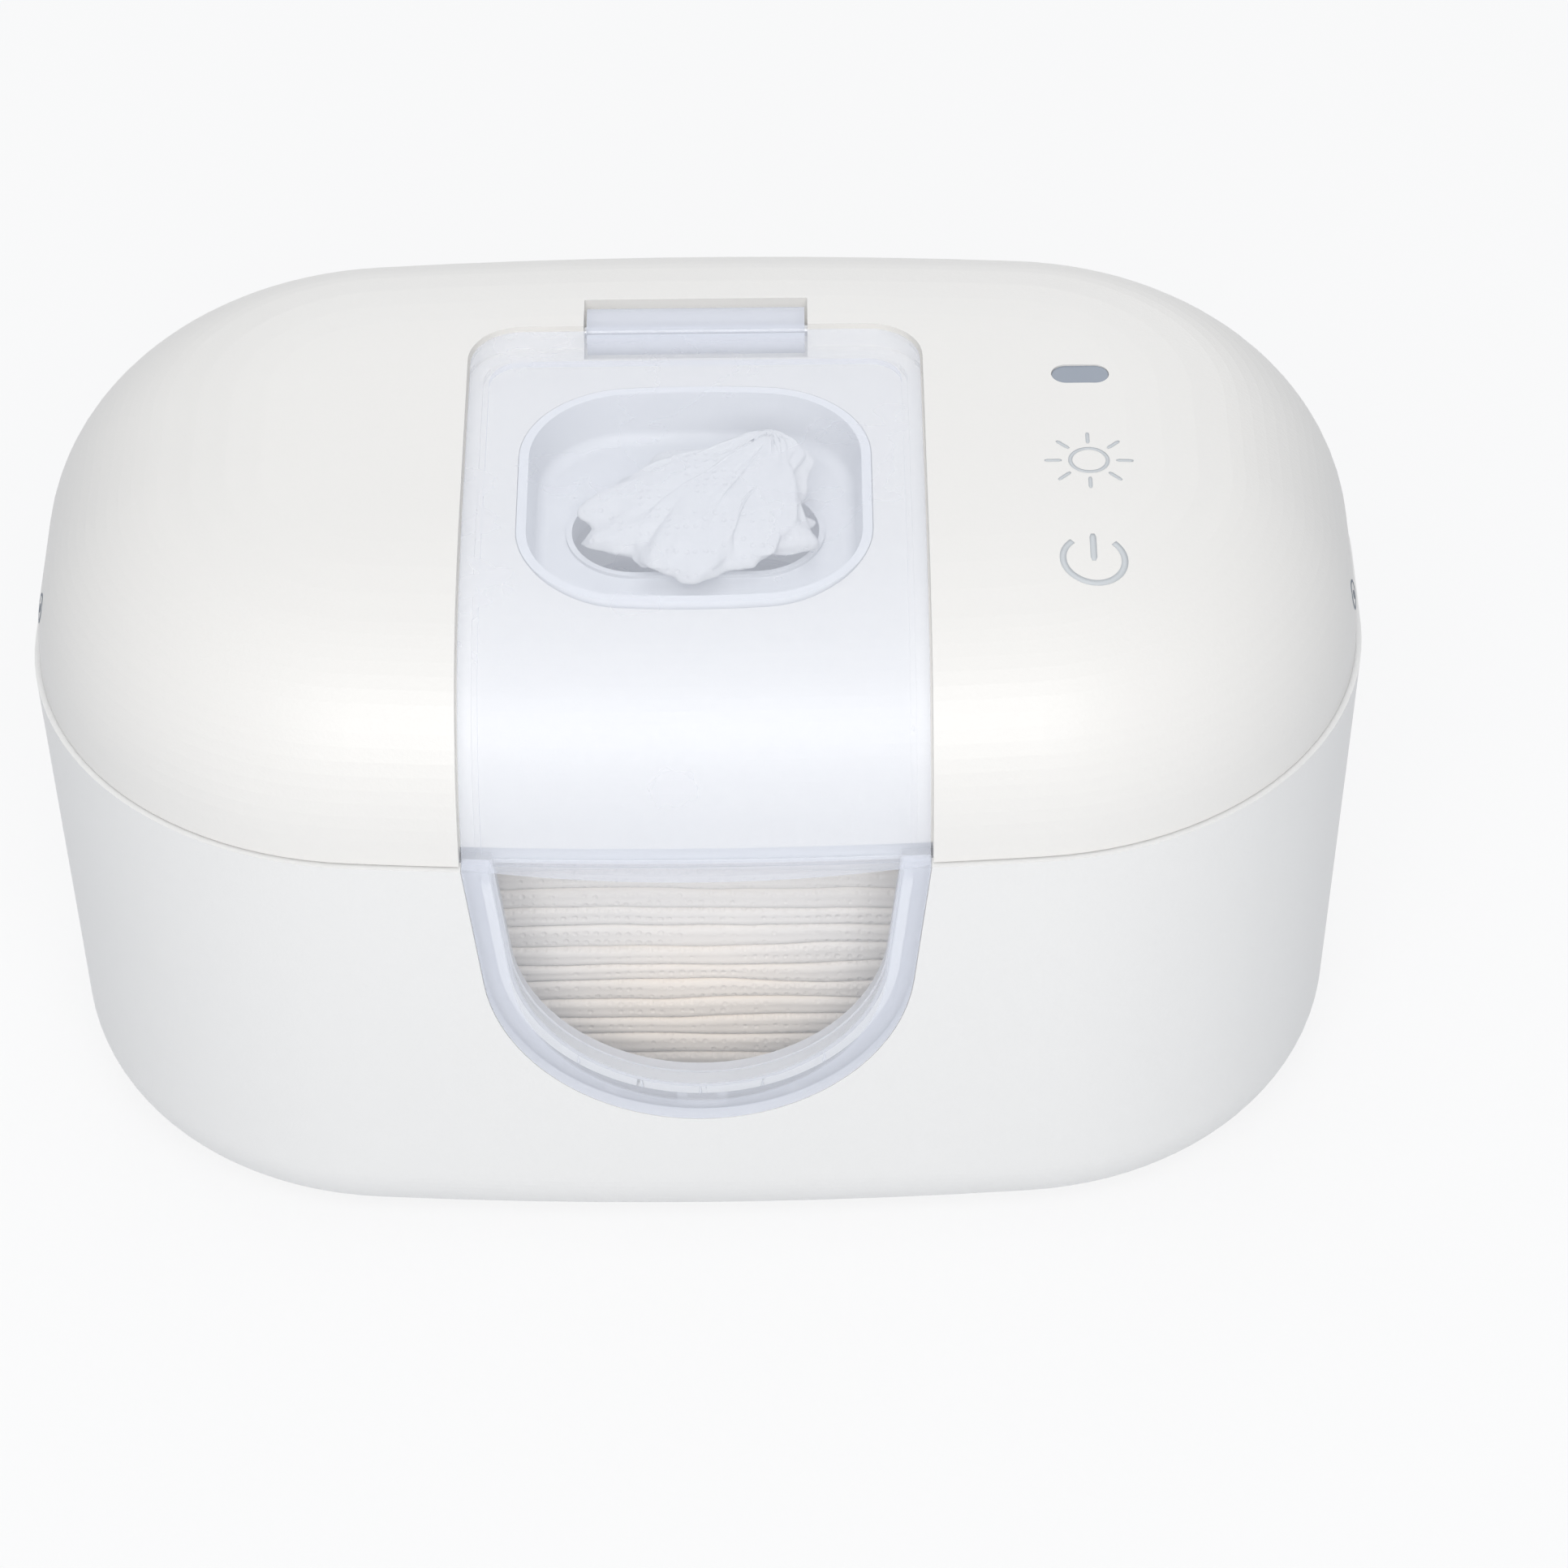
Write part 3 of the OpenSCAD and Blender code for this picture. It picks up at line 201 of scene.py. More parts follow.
def add(tree, kind, inputs=None, **settings):
    """A new shader node in a tree. An input is a number, a colour or another node's socket."""
    node = tree.nodes.new("ShaderNode" + kind)
    for name, value in settings.items():
        setattr(node, name, value)
    for name, value in (inputs or {}).items():
        socket = node.inputs[name]
        if isinstance(value, bpy.types.NodeSocket):
            tree.links.new(value, socket)
        else:
            socket.default_value = value
    return node


def calc(tree, operation, first, second=0.0, third=0.0, clamp=False):
    """The output of a Math node."""
    node = add(tree, "Math", {0: first, 1: second, 2: third}, operation=operation)
    node.use_clamp = clamp
    return node.outputs[0]


def spread(tree, value, low, high, to_low=0.0, to_high=1.0):
    """A value moved smoothly from one range to another."""
    node = add(
        tree,
        "MapRange",
        {0: value, 1: low, 2: high, 3: to_low, 4: to_high},
        interpolation_type="SMOOTHSTEP",
    )
    return node.outputs[0]


def blend(tree, factor, first, second):
    """A colour between two colours."""
    node = add(tree, "Mix", {0: factor, 6: first, 7: second}, data_type="RGBA")
    return node.outputs[2]


def solid(rgb):
    """A colour with full alpha."""
    return (rgb[0], rgb[1], rgb[2], 1.0)


def times(tree, first, second):
    """A product."""
    return calc(tree, "MULTIPLY", first, second)


def here(tree):
    """The Object coordinates of the point that is shaded."""
    return add(tree, "TexCoord").outputs["Object"]


def noise_map(tree, scale, detail, roughness=0.5, distortion=0.0, place=None):
    """A noise texture, on the Object coordinates if no other place is given."""
    inputs = {
        "Vector": here(tree) if place is None else place,
        "Scale": scale,
        "Detail": detail,
        "Roughness": roughness,
        "Distortion": distortion,
    }
    return add(tree, "TexNoise", inputs).outputs[0]


def darker(tree, rgb, value, saturation=1.0):
    """A colour with a lower value, and with another saturation if one is given."""
    inputs = {"Color": rgb, "Saturation": saturation, "Value": value}
    return add(tree, "HueSaturation", inputs).outputs[0]


def moulded_grain(group, given):
    """Fine grain and slow unevenness of moulded plastic."""
    fine = noise_map(group, calc(group, "DIVIDE", 1.0, given["Grain size"]), 2.0, 0.55)
    slow = noise_map(group, 22.0, 3.0, 0.6)
    flecks = noise_map(group, 260.0, 2.0)
    uneven = calc(group, "ADD", times(group, slow, 0.7), times(group, flecks, 0.3))
    amount = times(group, spread(group, uneven, 0.38, 0.66), given["Mottle"])
    mean = calc(group, "ADD", times(group, fine, 0.5), times(group, slow, 0.5))
    swing = calc(group, "SUBTRACT", mean, 0.5)
    return {
        "Colour": blend(group, amount, given["Colour"], darker(group, given["Colour"], 0.8, 1.15)),
        "Roughness": calc(
            group, "MULTIPLY_ADD", swing, given["Roughness spread"], given["Roughness"], clamp=True
        ),
        "Height": fine,
    }


def nonwoven_cloth(group, given):
    """Matted fibres with small pressed dots, as on a wet wipe, with painted shade where the cloth sits low.
    """
    fibres = noise_map(group, calc(group, "DIVIDE", 1.0, given["Fibre size"]), 4.0, 0.65, 1.2)
    clouds = noise_map(group, 140.0, 2.0)
    dot_scale = calc(group, "DIVIDE", 1.0, given["Dot spacing"])
    dots = add(
        group, "TexVoronoi", {"Vector": here(group), "Scale": dot_scale, "Randomness": 0.25}
    ).outputs["Distance"]
    matted = calc(group, "MULTIPLY_ADD", fibres, 0.5, 0.5)
    depth = times(group, matted, spread(group, dots, 0.12, 0.34))
    # Painted shade: the colour darkens where the cloth sits low, in the pressed dots and between fibres,
    # mixed with random tone from the clouds
    low = calc(group, "SUBTRACT", 1.0, depth)
    low_shade_and_tone = calc(group, "MULTIPLY_ADD", low, 0.7, times(group, clouds, 0.5))
    amount = calc(group, "MULTIPLY", low_shade_and_tone, given["Shade"], clamp=True)
    dark = darker(group, given["Colour"], 0.72, 1.3)
    return {"Colour": blend(group, amount, given["Colour"], dark), "Height": depth}


def brushed_lines(group, given):
    """Fine lines along X, as on rolled or drawn metal."""
    pulled = add(group, "Mapping", {"Vector": here(group), "Scale": (0.04, 1.0, 1.0)}).outputs[0]
    lines = noise_map(group, calc(group, "DIVIDE", 1.0, given["Line size"]), 3.0, 0.6, place=pulled)
    swing = times(group, calc(group, "SUBTRACT", lines, 0.5), 0.25)
    return {
        "Colour": blend(group, lines, given["Colour"], darker(group, given["Colour"], 0.82)),
        "Roughness": calc(group, "ADD", given["Roughness"], swing, clamp=True),
        "Height": lines,
    }


# What fills each node group, and the group's inputs with their defaults
NODE_GROUPS = {
    "Moulded grain": (
        moulded_grain,
        {
            "Colour": (0.8, 0.8, 0.8, 1.0),
            "Grain size": 0.0008,
            "Mottle": 0.03,
            "Roughness": 0.4,
            "Roughness spread": 0.08,
        },
    ),
    "Nonwoven cloth": (
        nonwoven_cloth,
        {"Colour": (0.8, 0.8, 0.8, 1.0), "Fibre size": 0.0006, "Dot spacing": 0.0016, "Shade": 0.12},
    ),
    "Brushed lines": (
        brushed_lines,
        {"Colour": (0.7, 0.7, 0.7, 1.0), "Roughness": 0.3, "Line size": 0.0006},
    ),
}


def new_socket(group, label, way):
    """A named socket of a node group."""
    kind = "NodeSocketColor" if label == "Colour" else "NodeSocketFloat"
    return group.interface.new_socket(name=label, in_out=way, socket_type=kind)


def place_group(tree, name, inputs):
    """The outputs of a node group placed in a material. The group is made when it is first placed."""
    group = bpy.data.node_groups.get(name)
    if group is None:
        fill, defaults = NODE_GROUPS[name]
        group = bpy.data.node_groups.new(name, "ShaderNodeTree")
        for label, default in defaults.items():
            new_socket(group, label, "INPUT").default_value = default
        results = fill(group, group.nodes.new("NodeGroupInput").outputs)
        for label in results:
            new_socket(group, label, "OUTPUT")
        ends = group.nodes.new("NodeGroupOutput").inputs
        for label, value in results.items():
            group.links.new(value, ends[label])
    return add(tree, "Group", inputs, node_tree=group).outputs


def new_material(name, constants):
    """A material with its shader, whose plain values are set on the shader's own sockets."""
    material = bpy.data.materials.new(name)
    material.use_nodes = True
    tree = material.node_tree
    shader = tree.nodes["Principled BSDF"]
    for socket, value in constants.items():
        shader.inputs[socket].default_value = value
    return material, tree, shader


def bump(tree, shader, height, distance, strength=1.0):
    """Raises the surface by a height map."""
    node = add(tree, "Bump", {"Height": height, "Distance": distance, "Strength": strength})
    tree.links.new(node.outputs["Normal"], shader.inputs["Normal"])


def moulded(name, rgb, roughness, grain_size, grain_height, ior, mottle=0.03, swing=0.08, **more):
    """A moulded plastic or rubber with fine grain, measured in metres. More names are the shader's sockets,
    with an underscore for each space."""
    constants = {"IOR": ior}
    for socket, value in more.items():
        constants[socket.replace("_", " ")] = value
    material, tree, shader = new_material(name, constants)
    grain = place_group(
        tree,
        "Moulded grain",
        {
            "Colour": solid(rgb),
            "Grain size": grain_size,
            "Mottle": mottle,
            "Roughness": roughness,
            "Roughness spread": swing,
        },
    )
    tree.links.new(grain["Colour"], shader.inputs["Base Color"])
    tree.links.new(grain["Roughness"], shader.inputs["Roughness"])
    bump(tree, shader, grain["Height"], grain_height)
    return material, tree, shader, grain["Colour"]


def pane_border(tree, width):
    """A mask of the frosted border along the window's outline: a round foot and two leaning sides"""
    parts = add(tree, "SeparateXYZ", {"Vector": here(tree)}).outputs
    across = calc(tree, "ABSOLUTE", parts["X"])
    up = calc(tree, "SUBTRACT", parts["Z"], WINDOW_MIDDLE_Z)
    cos, sin = math.cos(WINDOW_LEAN), math.sin(WINDOW_LEAN)
    round_part = calc(tree, "SQRT", calc(tree, "MULTIPLY_ADD", up, up, times(tree, across, across)))
    side_part = calc(tree, "MULTIPLY_ADD", across, cos, times(tree, up, -sin))
    side_rise = calc(tree, "MULTIPLY_ADD", across, sin, times(tree, up, cos))
    beside = calc(tree, "GREATER_THAN", side_rise, 0.0)
    outward = calc(tree, "MULTIPLY_ADD", beside, calc(tree, "SUBTRACT", side_part, round_part), round_part)
    edge = WINDOW_R - width
    return spread(tree, outward, edge - BORDER_BLUR, edge + BORDER_BLUR)


def knuckle_mask(tree):
    """A mask of the flap's thick rear part, the block round its hinge pin"""
    parts = add(tree, "SeparateXYZ", {"Vector": here(tree)}).outputs
    inside = calc(tree, "LESS_THAN", calc(tree, "ABSOLUTE", parts["X"]), KNUCKLE_HALF_W)
    return times(tree, spread(tree, parts["Y"], KNUCKLE_Y, KNUCKLE_Y + KNUCKLE_BLUR), inside)


def clouded(name, rgb, cover, roughness, edge_cover, shadow_share, thick_part=None, thick_cover=0.0):
    """A milky see-through plastic. It hides more where the eye meets it at a low angle, as a thick wall
    does, and it scatters the light onwards, so its shadow is much weaker than its cover."""
    gloss = {"ior": 1.47, "Specular_IOR_Level": 0.35}
    material, tree, shader, _ = moulded(
        name, rgb, roughness, 0.0012, 0.00002, mottle=0.04, swing=0.1, **gloss
    )
    facing = add(tree, "LayerWeight", {"Blend": 0.35}).outputs["Facing"]
    haze = calc(tree, "SUBTRACT", noise_map(tree, 45.0, 3.0), 0.5)
    low = calc(tree, "MULTIPLY_ADD", haze, 0.04, cover)
    thick = times(tree, spread(tree, facing, 0.35, 1.0), edge_cover)
    whole = calc(tree, "ADD", low, thick, clamp=True)
    if thick_part:
        whole = calc(tree, "ADD", whole, times(tree, thick_part(tree), thick_cover), clamp=True)
    path = add(tree, "LightPath").outputs
    onward = calc(tree, "MAXIMUM", path["Is Shadow Ray"], path["Is Diffuse Ray"])
    kept = calc(tree, "MULTIPLY_ADD", onward, shadow_share - 1.0, 1.0)
    tree.links.new(times(tree, whole, kept), shader.inputs["Alpha"])
    return material


def paint(material, *names):
    """Gives CAD nodes a material."""
    for name in names:
        data = nodes[name].data
        if not data.materials:
            data.materials.append(material)
        for index in range(len(data.materials)):
            data.materials[index] = material


# Meshes


def new_object(name, data):
    """A new object in the scene."""
    made = bpy.data.objects.new(name, data)
    bpy.context.scene.collection.objects.link(made)
    return made


def finish_piece(bm, name, body, material, smooth=True):
    """Turns a bmesh into a finished piece that rides on a body. Its place is in its mesh."""
    data = bpy.data.meshes.new(name)
    for face in bm.faces:
        face.smooth = smooth
    bm.to_mesh(data)
    bm.free()
    data.materials.append(material)
    piece = new_object(name, data)
    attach(piece, body)
    return piece


def lay_on(bm, surface, turn, lift):
    """Lays a flat drawing on a surface. It looks along -Z, and turn sets it before it is dropped."""
    down = turn.to_3x3() @ Vector((0, 0, -1))
    for vert in bm.verts:
        found, normal, _, _ = surface.ray_cast(turn @ vert.co, down)
        if found is None:
            raise RuntimeError("a print doesn't lie over the lid")
        if normal.dot(down) > 0:
            normal = -normal
        vert.co = found + normal * lift


def thicken(bm, thickness):
    """Gives a laid drawing its thickness, with faces outwards."""
    bmesh.ops.remove_doubles(bm, verts=bm.verts, dist=1e-7)
    bmesh.ops.recalc_face_normals(bm, faces=bm.faces)
    bmesh.ops.solidify(bm, geom=bm.faces, thickness=thickness)
    bmesh.ops.recalc_face_normals(bm, faces=bm.faces)


def add_arc(bm, outer, stroke, start_deg, turn_deg, steps):
    """A flat ring, or a part of one, made by spinning a short line."""
    first = Matrix.Rotation(math.radians(start_deg), 3, "Z")
    inner_vert = bm.verts.new(first @ Vector((outer - stroke, 0, 0)))
    outer_vert = bm.verts.new(first @ Vector((outer, 0, 0)))
    line = bm.edges.new((inner_vert, outer_vert))
    bmesh.ops.spin(
        bm,
        geom=[inner_vert, outer_vert, line],
        cent=(0, 0, 0),
        axis=(0, 0, 1),
        angle=math.radians(turn_deg),
        steps=steps,
        use_merge=turn_deg >= 360,
    )


def add_bar(bm, start, end, stroke, angle_deg, steps=6):
    """A straight stroke with round ends, from one radius to another, at an angle."""
    made = bmesh.ops.create_grid(bm, x_segments=steps, y_segments=2, size=0.5)
    verts = made["verts"]
    bmesh.ops.scale(bm, verts=verts, vec=(end - start, stroke, 1))
    half = (end - start) / 2
    for vert in verts:
        past = abs(vert.co.x) - (half - stroke / 2)
        if past > 0:
            vert.co.y *= math.sqrt(max(0.0, 1 - (past / (stroke / 2)) ** 2 * 0.7))
    bmesh.ops.translate(bm, verts=verts, vec=((start + end) / 2, 0, 0))
    turn = Matrix.Rotation(math.radians(angle_deg), 3, "Z")
    bmesh.ops.rotate(bm, verts=verts, cent=(0, 0, 0), matrix=turn)


def next_ring(bm, ring, edges):
    """Extrudes a ring of edges, and gives the new vertices, in the ring's order, and the new edges."""
    made = bmesh.ops.extrude_edge_only(bm, edges=edges)["geom"]
    old = set(ring)
    above = {}
    for vert in made:
        if isinstance(vert, bmesh.types.BMVert):
            for edge in vert.link_edges:
                other = edge.other_vert(vert)
                if other in old:
                    above[other] = vert
    return [above[vert] for vert in ring], [item for item in made if isinstance(item, bmesh.types.BMEdge)]


def new_ring(bm, sides, radius):
    """The vertices and the edges of a new circle."""
    ring = bmesh.ops.create_circle(bm, cap_ends=False, segments=sides, radius=radius)["verts"]
    return ring, list({edge for vert in ring for edge in vert.link_edges})


# Operators


class WARMER_OT_white_shells(bpy.types.Operator):
    """Give the lid, the base and the lid's liner their moulded white"""

    bl_idname = "warmer.white_shells"
    bl_label = "White shells"

    def execute(self, context):
        look = context.scene.warmer_plastics
        shell = {"grain_size": 0.0007, "grain_height": look.grain_height, "ior": 1.48}
        lid = moulded("Lid white", look.lid_white, look.shell_roughness, **shell)[0]
        base = moulded("Base white", look.base_white, look.shell_roughness, **shell)[0]
        liner = moulded("Liner white", look.liner_white, 0.55, 0.0009, look.grain_height, 1.48)[0]
        paint(lid, "lid_shell")
        paint(base, "base_shell")
        paint(liner, "lid_liner")
        return {"FINISHED"}


class WARMER_OT_milky_parts(bpy.types.Operator):
    """Give the flap, the window, the well and the tub their see-through plastics"""

    bl_idname = "warmer.milky_parts"
    bl_label = "Milky parts"

    def execute(self, context):
        look = context.scene.warmer_plastics
        weak = look.shadow_share
        blue = look.milky_blue
        flap = clouded("Milky flap", blue, look.flap_cover, 0.4, 0.3, weak, knuckle_mask, look.knuckle_cover)

        def border(tree):
            return pane_border(tree, look.border_width)

        window = clouded("Milky window", blue, look.window_cover, 0.14, 0.3, weak, border, look.border_cover)
        well = clouded("Milky well", look.well_white, look.well_cover, 0.3, 0.12, weak)
        paint(flap, "flap")
        paint(window, "front_window")
        paint(well, "dispensing_well")
        paint(clouded("Frosted tub", look.tub_grey, look.tub_cover, 0.5, 0.2, weak), "inner_tub")
        return {"FINISHED"}


class WARMER_OT_seals_and_feet(bpy.types.Operator):
    """Give the silicone seals and the rubber feet their finish"""

    bl_idname = "warmer.seals_and_feet"
    bl_label = "Seals and feet"

    def execute(self, context):
        look = context.scene.warmer_plastics
        soft = {"ior": 1.43, "Sheen_Weight": 0.15, "Sheen_Roughness": 0.5}
        seal = moulded("Silicone", look.seal_white, 0.5, 0.0005, 0.00002, mottle=0.08, **soft)[0]
        foot = moulded("Foot rubber", look.foot_grey, 0.75, 0.0004, 0.00005, mottle=0.2, **soft)[0]
        paint(seal, "throat_seal", "lid_seal", "window_gasket")
        paint(foot, "rubber_feet")
        return {"FINISHED"}


class WARMER_OT_metalwork(bpy.types.Operator):
    """Give screws, pin, springs and the heater plate their metal"""

    bl_idname = "warmer.metalwork"
    bl_label = "Metalwork"

    # Nodes of plated steel
    steel_nodes = (
        "tub_screws", "lid_screws", "heater_screws", "board_screws", "hinge_pin",
        "left_catch_spring", "right_catch_spring", "inlet_pin",
    )

    def metal(self, name, rgb, roughness, line_size):
        """Brushed metal"""
        material, tree, shader = new_material(name, {"Metallic": 1.0})
        inputs = {"Colour": solid(rgb), "Roughness": roughness, "Line size": line_size}
        lines = place_group(tree, "Brushed lines", inputs)
        tree.links.new(lines["Colour"], shader.inputs["Base Color"])
        tree.links.new(lines["Roughness"], shader.inputs["Roughness"])
        bump(tree, shader, lines["Height"], 0.00001)
        return material

    def execute(self, context):
        look = context.scene.warmer_heater
        steel = self.metal("Plated steel", look.steel, 0.28, 0.0003)
        plate = self.metal("Rolled aluminium", look.plate, 0.38, 0.0008)
        paint(steel, *self.steel_nodes)
        paint(plate, "heater_plate")
        return {"FINISHED"}


class WARMER_OT_catch_springs(bpy.types.Operator):
    """Wind the two catch springs as fixed coils; the real springs shorten when their catch is pressed in"""

    bl_idname = "warmer.catch_springs"
    bl_label = "Catch springs"

    turns = 5
    steps_a_turn = 28
    wire_sides = 10
    # How far a catch is pressed, with a little to spare
    press = 1.5 * MM

    def execute(self, context):
        wire = context.scene.warmer_heater.spring_wire
        for name, joint, inward in (
            ("left_catch_spring", "left_catch_press", 1),
            ("right_catch_spring", "right_catch_press", 0),
        ):
            low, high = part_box(name)
            middle = (low + high) / 2
            start = Vector((low.x + wire, middle.y, middle.z))
            steps = self.turns * self.steps_a_turn
            bm = bmesh.new()
            ring, edges = new_ring(bm, self.wire_sides, wire)
            bmesh.ops.translate(bm, verts=ring, vec=start + Vector((0, (high.z - low.z) / 2 - wire, 0)))
            bmesh.ops.spin(
                bm,
                geom=ring + edges,
                cent=start,
                axis=(1, 0, 0),
                dvec=((high.x - low.x - 2 * wire) / steps, 0, 0),
                angle=math.radians(360 * self.turns),
                steps=steps,
            )
            ends = [edge for edge in bm.edges if edge.is_boundary]
            bmesh.ops.holes_fill(bm, edges=ends, sides=self.wire_sides)
            bmesh.ops.recalc_face_normals(bm, faces=bm.faces)
            steel = nodes[name].data.materials[0]
            piece = finish_piece(bm, name.replace("catch_spring", "coil"), "lid", steel)
            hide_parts(name)
            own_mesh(piece)
        return {"FINISHED"}


class WARMER_OT_heater_layers(bpy.types.Operator):
    """Give the heater film, its pad and the fuse their finish"""

    bl_idname = "warmer.heater_layers"
    bl_label = "Heater layers"

    def film(self, look):
        """Amber film with the runs of the heating track inside it"""
        material, tree, shader, ground = moulded(
            "Amber film", look.film, 0.22, 0.0012, 0.00002, 1.6, mottle=0.25
        )
        scale = math.pi / (10 * look.track_pitch)
        runs = add(
            tree,
            "TexWave",
            {"Vector": here(tree), "Scale": scale, "Distortion": 0.6, "Detail": 1.0},
            wave_type="BANDS",
            bands_direction="Y",
        ).outputs["Fac"]
        track = spread(tree, runs, 0.35, 0.5)
        tree.links.new(blend(tree, track, ground, solid(look.track)), shader.inputs["Base Color"])
        bump(tree, shader, track, 0.00003)
        return material

    def execute(self, context):
        look = context.scene.warmer_heater
        pad = moulded("Foam pad", look.pad, 0.9, 0.0011, 0.00035, 1.4, mottle=0.5)[0]
        fuse = moulded("Fuse body", (0.62, 0.50, 0.28), 0.5, 0.0006, 0.00003, 1.5, mottle=0.3)[0]
        paint(self.film(look), "heater_film")
        paint(pad, "heater_pad")
        paint(fuse, "thermal_fuse")
        return {"FINISHED"}


class WARMER_OT_electronics(bpy.types.Operator):
    """Give boards, pads, light chips, lens, socket and catches their finish"""

    bl_idname = "warmer.electronics"
    bl_label = "Electronics and catches"

    def board(self, look):
        """Green lacquer with copper tracks under it"""
        material, tree, shader, ground = moulded(
            "Green board", look.board, 0.3, 0.0009, 0.00002, 1.55, mottle=0.2
        )
        cells = add(
            tree,
            "TexVoronoi",
            {"Vector": here(tree), "Scale": 320.0, "Randomness": 0.65},
            distance="MANHATTAN",
            feature="F1",
        ).outputs["Distance"]
        off = calc(tree, "ABSOLUTE", calc(tree, "SUBTRACT", cells, 0.42))
        tracks = spread(tree, off, 0.05, 0.1, 1.0, 0.0)
        tree.links.new(blend(tree, tracks, ground, solid(look.copper)), shader.inputs["Base Color"])
        bump(tree, shader, tracks, 0.00004)
        return material

    def lens(self, prints):
        """Grey-blue light guide, darker towards its rim"""
        material, tree, shader, ground = moulded(
            "Indicator lens", prints.lens_face, 0.2, 0.0006, 0.00001, 1.49, mottle=0.08
        )
        shift = -(LENS_LOW + LENS_HIGH) / 2
        half = (LENS_HIGH - LENS_LOW) / 2
        moved = add(tree, "Mapping", {"Vector": here(tree), "Location": shift}).outputs[0]
        parts = add(tree, "SeparateXYZ", {"Vector": moved}).outputs
        past = calc(tree, "SUBTRACT", calc(tree, "ABSOLUTE", parts["X"]), half.x - half.y)
        along = calc(tree, "MAXIMUM", past, 0.0)
        squares = calc(tree, "ADD", times(tree, along, along), times(tree, parts["Y"], parts["Y"]))
        rim = spread(tree, calc(tree, "SQRT", squares), half.y * 0.62, half.y * 0.9)
        tree.links.new(blend(tree, rim, ground, solid(prints.lens_rim)), shader.inputs["Base Color"])
        return material

    def execute(self, context):
        look = context.scene.warmer_heater
        white = context.scene.warmer_plastics.liner_white
        glow = {"Emission_Color": (1.0, 0.9, 0.6, 1.0), "Emission_Strength": 0.2}
        pad = moulded("Contact foam", (0.05, 0.052, 0.06), 0.85, 0.0006, 0.0002, 1.4, mottle=0.4)[0]
        chip = moulded("Light chip", (0.86, 0.80, 0.36), 0.25, 0.0003, 0.00001, 1.5, mottle=0.1, **glow)[0]
        socket = moulded("Socket black", (0.018, 0.018, 0.02), 0.45, 0.0006, 0.00003, 1.5, mottle=0.3)[0]
        catch = moulded("Catch white", white, 0.5, 0.0007, 0.00003, 1.48)[0]
        paint(self.board(look), "touch_board", "power_board")
        paint(pad, "touch_pads")
        paint(chip, "board_lights")
        paint(socket, "inlet_socket")
        paint(catch, "left_catch", "right_catch")
        paint(self.lens(context.scene.warmer_prints), "indicator_lens")
        return {"FINISHED"}


def cloth_material(name, rgb, look, spacing, shade):
    """Damp nonwoven cloth"""
    material, tree, shader = new_material(
        name, {"Roughness": 0.82, "Sheen Weight": 0.25, "Sheen Roughness": 0.45, "IOR": 1.4}
    )
    inputs = {"Colour": solid(rgb), "Fibre size": look.fibre, "Dot spacing": spacing, "Shade": shade}
    cloth = place_group(tree, "Nonwoven cloth", inputs)
    tree.links.new(cloth["Colour"], shader.inputs["Base Color"])
    bump(tree, shader, cloth["Height"], 0.00018, 0.8)
    return material, tree, shader, cloth["Colour"]


